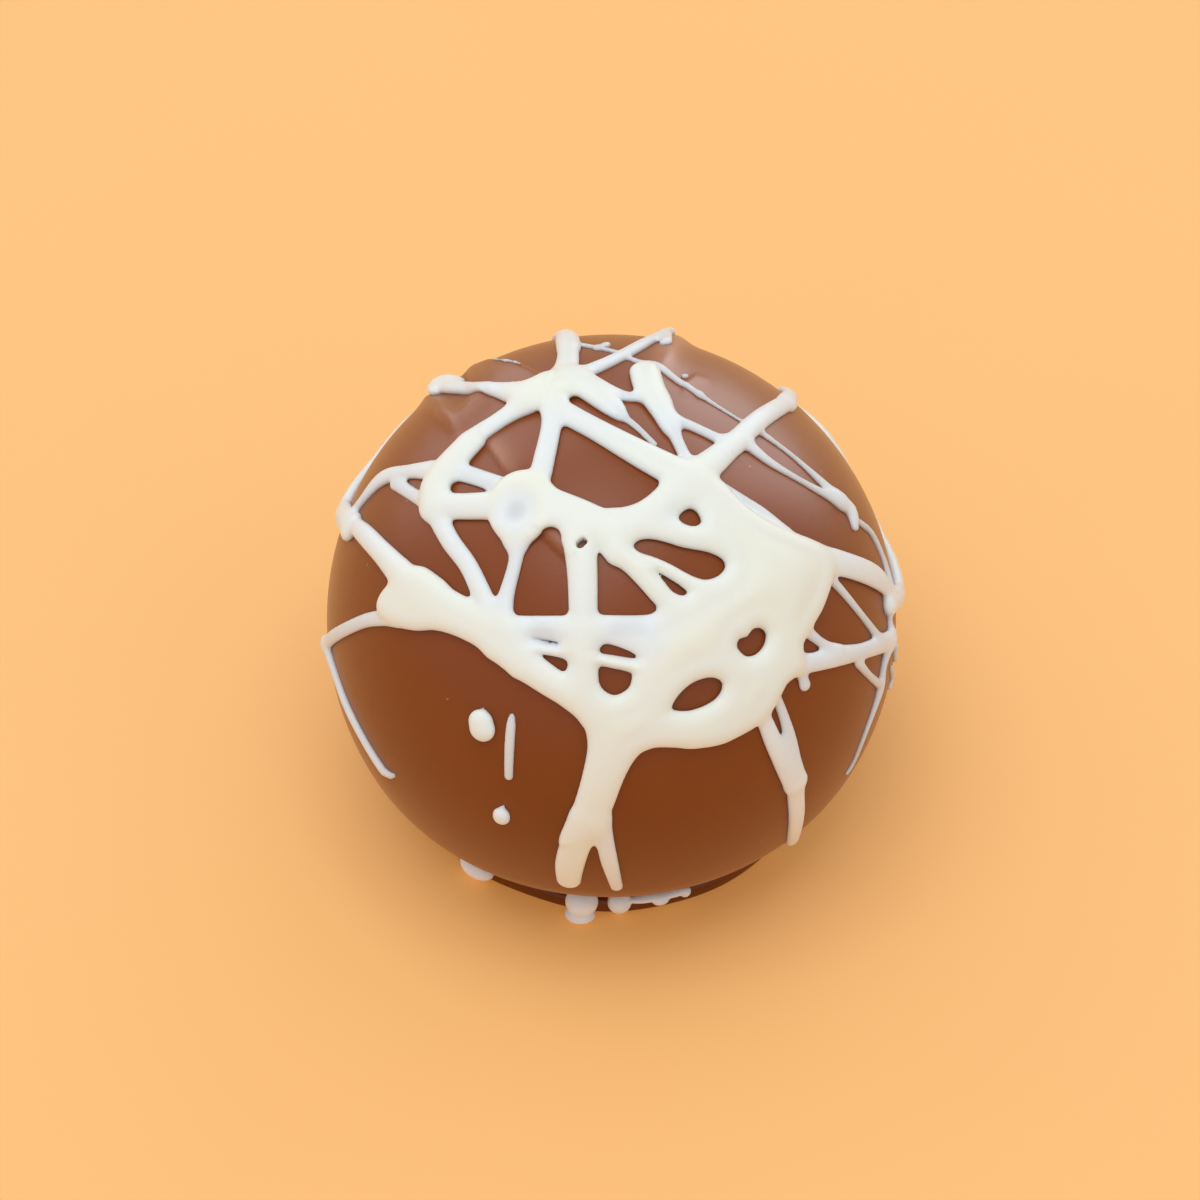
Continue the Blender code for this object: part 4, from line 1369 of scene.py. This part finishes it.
        # the feet of each strand drawn in a thinner colour: partly the thin film there, partly painted
        # shade
        share = np.clip(height / np.maximum(self.edge_share * depth, 0.05), 0.0, 1.0)
        depth = depth * (1.0 - self.edge_film_and_shade * (1.0 - share) ** 2)
        # the drops on the foot take the brightest white: painted light against the shade under the ball
        for drop in FOOT_DROPS:
            part = drop.field(points)
            depth = np.where(part < field, self.drop_lit_depth, depth)
            field = soft_min(field, part, self.drop_blend)
        field = np.maximum(field, self.floor_gap - points[:, 2])
        # hollows drawn in a thinner, greyer colour than their shape gives: partly thin film, partly
        # painted shade
        return field, depth + np.where(lift < 0.0, self.hollow_film_and_shade * lift, lift)

    def sheet_edge(
        self, sheet: Sheet, feet: Array, centre: Array, spread: float
    ) -> tuple[Array, Array]:
        """Distance outside a sheet's edge, holes included, and how far in from the rim.

        Args:
            sheet: which sheet.
            feet: points on the coat that lie close together.
            centre: their middle.
            spread: how far they lie from it at most.

        Returns:
            The distance at each point, negative within the sheet, and a smooth measure of how
            far in it lies, which has no crease along the sheet's middle line.
        """
        edge = np.full(len(feet), self.far)
        pull = np.full(len(feet), math.exp(-self.crown_softness * self.far))
        facing = (centre - self.coat.middle) @ self.card.towards
        if facing < -6.0:  # the far side has no sheet
            return edge, np.zeros(len(feet))
        places = (self.card.place(feet) + self.card_drop) / self.draw_in - self.card_drop
        for rim in self.rims:
            gaps = np.linalg.norm(rim.spots - centre, axis=1)
            near = np.nonzero(gaps < spread + self.sheet_reach)[0]
            if rim.sheet is not sheet or (len(near) == 0 and rim.is_hole):
                continue
            far = np.full(len(feet), self.far)
            if len(near):
                reach = nearest(feet, rim.spots[near], rim.runs[near])[1]
                far = reach.min(axis=1)
                pull += np.exp(-self.crown_softness * reach).sum(axis=1)
            signed = np.where(within(places, rim.drawn), -far, far)
            edge = -soft_min(-edge, signed, self.hole_blend) if rim.is_hole else signed
        inner = np.where(edge < 0.0, -np.log(pull) / self.crown_softness - self.crown_start, 0.0)
        return edge, inner

    def merge(
        self, field: Array, depth: Array, roundness: Array, part: Array, top: Array, half: Array
    ) -> tuple[Array, Array, Array]:
        """Flow one more strand into the body.

        Args:
            field: the body's field so far.
            depth: its depth so far.
            roundness: half width of what is nearest so far.
            part: the strand's field.
            top: how high the strand's top stands.
            half: the strand's half width.

        Returns:
            The three values with the strand in.
        """
        edge = np.minimum(half, self.rim)
        other = np.where(roundness > 0.0, roundness, edge)
        blend = np.clip(np.minimum(edge, other) * 0.9 + 0.1, self.least_blend, self.blend)
        share = 1.0 / (1.0 + np.exp(np.clip((part - field) / self.colour_blend, -30.0, 30.0)))
        joined = soft_min(field, part, blend)
        return joined, depth + (top - depth) * share, np.where(part < field, edge, roundness)

    def swell(self, feet: Array) -> Array:
        """How much the local swellings lift the drizzle's top."""
        lift = np.zeros(len(feet))
        for mark, swelling in zip(self.marks, self.swellings):
            far = np.linalg.norm(feet - mark, axis=1)
            lift += swelling.height * np.exp(-((far / swelling.spread) ** 2))
        return lift

    def lattice(self) -> tuple[Array, Array]:
        """The field on a lattice round the truffle, block by block.

        Returns:
            The field, and the lattice's first corner.
        """
        first = np.array(self.first_corner)
        count = np.array(self.lattice_steps)
        field = np.full(count, self.far, dtype=np.float32)
        axes = [first[axis] + np.arange(count[axis]) * self.pitch for axis in range(3)]
        half_diagonal = self.block * self.pitch * math.sqrt(3) / 2
        for corner in np.ndindex(*(-(-count // self.block))):
            spans = [
                slice(c * self.block, min((c + 1) * self.block, n)) for c, n in zip(corner, count)
            ]
            sides = [axes[axis][span] for axis, span in enumerate(spans)]
            centre = np.array([side.mean() for side in sides])
            if self.misses(centre, half_diagonal):
                continue
            grid = np.stack(np.meshgrid(*sides, indexing="ij"), axis=-1).reshape(-1, 3)
            rel = grid - self.coat.middle
            reach = np.linalg.norm(rel, axis=1)
            height = reach - self.coat.smooth_radius(rel / reach[:, None])
            kept = (height > -self.sunk - self.margin) & (height < self.tallest)
            for drop in FOOT_DROPS:
                kept |= drop.field(grid) < self.drop_margin
            if kept.any():
                values = np.full(len(grid), self.far, dtype=np.float32)
                values[kept] = self.sample(grid[kept])[0]
                field[tuple(spans)] = values.reshape([len(side) for side in sides])
        return field, first

    def misses(self, centre: Array, half_diagonal: float) -> bool:
        """Whether a block holds no part of any strand, sheet or drop."""
        gap = np.linalg.norm(centre - self.coat.middle) - self.coat.ball_radius
        touches = False
        if gap < half_diagonal + self.tallest:
            gaps = np.linalg.norm(self.middles - centre, axis=1) - self.halves.max(axis=1)
            touches = bool((gaps < half_diagonal + self.tallest).any())
        beyond = gap > half_diagonal + self.tallest or centre[1] > self.furthest_back
        for rim in self.rims:
            if touches or rim.is_hole or beyond:
                continue
            near = np.linalg.norm(rim.spots - centre, axis=1).min() < half_diagonal + self.tallest
            touches = bool(near or within(self.card.place(centre[None]), rim.drawn)[0])
        drops = [math.dist(drop.place, centre) - max(drop.radii) for drop in FOOT_DROPS]
        return not touches and min(drops) > half_diagonal

    def net(self, field: Array, first: Array) -> tuple[Array, Array]:
        """A closed net of four-sided faces over the field's surface.

        Args:
            field: values on the lattice, negative inside.
            first: the lattice's first corner.

        Returns:
            Points, and the corners of each face.
        """
        inside = field < 0.0
        cells, spots, flips = [], [], []
        for axis in range(3):
            one = np.moveaxis(inside, axis, 0)
            found = np.argwhere(one[:-1] != one[1:])
            index = np.empty_like(found)
            index[:, axis] = found[:, 0]
            index[:, [a for a in range(3) if a != axis]] = found[:, 1:]
            step = np.eye(3, dtype=int)[axis]
            low = field[tuple(index.T)]
            high = field[tuple((index + step).T)]
            spots.append(index + (low / (low - high))[:, None] * step)
            u, v = np.eye(3, dtype=int)[(axis + 1) % 3], np.eye(3, dtype=int)[(axis + 2) % 3]
            around = np.stack((index, index - u, index - u - v, index - v), axis=1)
            cells.append(around)
            flips.append(low > 0.0)
        cells, spots, flips = (np.concatenate(part) for part in (cells, spots, flips))
        cells[flips] = cells[flips][:, ::-1]
        flat = np.ravel_multi_index(tuple(np.moveaxis(cells, -1, 0)), field.shape)
        names, corners = np.unique(flat, return_inverse=True)
        corners = corners.reshape(flat.shape)
        points = np.empty((len(names), 3))
        shares = np.bincount(corners.ravel(), minlength=len(names))
        for axis in range(3):
            total = np.bincount(corners.ravel(), np.repeat(spots[:, axis], 4), minlength=len(names))
            points[:, axis] = total / shares
        return first + points * self.pitch, corners

    def sample_anywhere(self, points: Array) -> tuple[Array, Array]:
        """The field and depth at any points, worked out block by block."""
        size = self.block * self.pitch
        most = 64  # blocks along a side, far more than the truffle takes up
        keys = np.floor(points / size).astype(int) + most // 2
        flat = (keys[:, 0] * most + keys[:, 1]) * most + keys[:, 2]
        order = np.argsort(flat, kind="stable")
        cuts = np.nonzero(np.diff(flat[order]))[0] + 1
        field, depth = np.empty(len(points)), np.empty(len(points))
        for batch in np.split(order, cuts):
            field[batch], depth[batch] = self.sample(points[batch])
        return field, depth

    def smooth_onto(self, points: Array) -> Array:
        """Move net points, rows of x, y and z, onto the field's surface."""
        for _ in range(self.settlings):
            value = self.sample_anywhere(points)[0]
            slope = np.empty_like(points)
            for axis in range(3):
                step = np.zeros(3)
                step[axis] = self.probe
                slope[:, axis] = (self.sample_anywhere(points + step)[0] - value) / self.probe
            size = np.maximum((slope**2).sum(axis=1), self.least_slope**2)
            move = slope * (value / size)[:, None]
            length = np.linalg.norm(move, axis=1)
            most = self.longest_move * self.pitch
            move *= np.minimum(1.0, most / np.maximum(length, 1e-9))[:, None]
            points = points - move
        return points

    def build(self, finish: bpy.types.Material) -> bpy.types.Object:
        """The drizzle as one closed mesh with the depth that its colour reads stored at each point,
        painted shade and light included.

        Args:
            finish: the white chocolate.

        Returns:
            The piece.
        """
        LOG.info("%d straight lengths", len(self.starts))
        field, first = self.lattice()
        LOG.info("lattice done")
        points, corners = self.net(field, first)
        LOG.info("net of %d points, %d faces", len(points), len(corners))
        points = self.smooth_onto(points)
        piece = mesh_piece("white_chocolate_drizzle", points, corners.tolist(), finish)
        self.thin_out(piece)
        places = np.empty(len(piece.data.vertices) * 3)
        piece.data.vertices.foreach_get("co", places)
        store(piece, "depth", self.sample_anywhere(places.reshape(-1, 3) / MM)[1])
        return piece

    def thin_out(self, piece: bpy.types.Object) -> None:
        """Join the faces that matter least to the shape until few enough are left."""
        thinner = piece.modifiers.new("thin out", "DECIMATE")
        thinner.ratio = self.most_triangles / (2.0 * len(piece.data.polygons))
        with bpy.context.temp_override(object=piece, active_object=piece):
            bpy.ops.object.modifier_apply(modifier=thinner.name)
        piece.data.shade_smooth()


@dataclass(frozen=True)
class Lamp:
    """A soft square light that faces the truffle, in metres and watts."""

    name: str
    place: Spot
    size: float
    watts: float
    sheen_only: bool = False  # whether it only shows as sheen, like a card held up to the gloss
    aim: Spot = (0.0, 0.0, 0.012)

    def hang(self) -> None:
        """Put the light in the scene."""
        lamp = bpy.data.lights.new(self.name, "AREA")
        lamp.size = self.size
        lamp.energy = self.watts
        held = bpy.data.objects.new(self.name, lamp)
        held.location = self.place
        held.visible_diffuse = not self.sheen_only
        held.visible_camera = False
        beam = Vector(self.aim) - Vector(self.place)
        held.rotation_euler = beam.to_track_quat("-Z", "Y").to_euler()
        bpy.context.scene.collection.objects.link(held)


@dataclass
class Studio:
    """The paper, the soft lights and the camera."""

    card: Card
    paper_size: float = 1.6
    distance: float = 0.45
    aim_right: float = -0.67
    aim_up: float = 0.73
    view_width: float = 67.37  # millimetres of the card that the frame takes in
    sensor: float = 36.0
    room_colour: Tone = (0.955, 0.98, 1.0, 1.0)
    room_strength: float = 0.67
    lamps: tuple[Lamp, ...] = (
        Lamp("overhead", (-0.08, -0.08, 0.75), 0.55, 2.4),
        Lamp("card_right", (0.42, 0.60, 0.33), 0.7, 6.0, sheen_only=True),
        Lamp("card_left", (-0.45, 0.55, 0.40), 0.8, 4.0, sheen_only=True),
    )

    def lay_paper(self, finish: bpy.types.Material) -> None:
        """The floor."""
        bpy.ops.mesh.primitive_grid_add(x_subdivisions=8, y_subdivisions=8, size=self.paper_size)
        floor = bpy.context.object
        floor.name = "paper"
        floor.data.materials.append(finish)

    def light_up(self) -> None:
        """An even room, a soft box overhead, and white cards that give the gloss its sheen."""
        for lamp in self.lamps:
            lamp.hang()
        world = bpy.data.worlds.new("room")
        world.use_nodes = True
        sky = world.node_tree.nodes["Background"]
        sky.inputs["Color"].default_value = self.room_colour
        sky.inputs["Strength"].default_value = self.room_strength
        bpy.context.scene.world = world

    def set_camera(self) -> None:
        """A long lens on the front, looking down as the card faces."""
        card = self.card
        aim = card.middle + card.right * self.aim_right + card.up * self.aim_up
        aim = Vector(aim) * MM
        away = Vector(card.towards)
        data = bpy.data.cameras.new("camera")
        data.sensor_width = self.sensor
        data.lens = self.sensor * self.distance / (self.view_width * MM)
        data.clip_start = 0.01
        camera = bpy.data.objects.new("camera", data)
        camera.location = aim + away * self.distance
        camera.rotation_euler = (-away).to_track_quat("-Z", "Y").to_euler()
        bpy.context.scene.collection.objects.link(camera)
        bpy.context.scene.camera = camera


def main() -> None:
    """Build the truffle, dress it and light it."""
    logging.basicConfig(level=logging.INFO, format="%(asctime)s %(message)s")
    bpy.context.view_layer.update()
    bpy.context.scene.view_settings.view_transform = "Standard"
    card = Card()
    effects = SharedEffects()
    studio = Studio(card)
    studio.set_camera()
    coat = Coat(card)
    ball = coat.build(MilkChocolate().material(effects.cast, effects.mottle))
    drizzle = Drizzle(card, coat)
    strands = drizzle.build(WhiteChocolate().material(effects.cast, effects.mottle))
    for piece in (ball, strands):
        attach(piece, "root")
        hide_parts("truffle")
        LOG.info("%s: %d faces", piece.name, len(piece.data.polygons))
    studio.lay_paper(Paper().material(effects.mottle))
    studio.light_up()


if __name__ == "__main__":
    main()
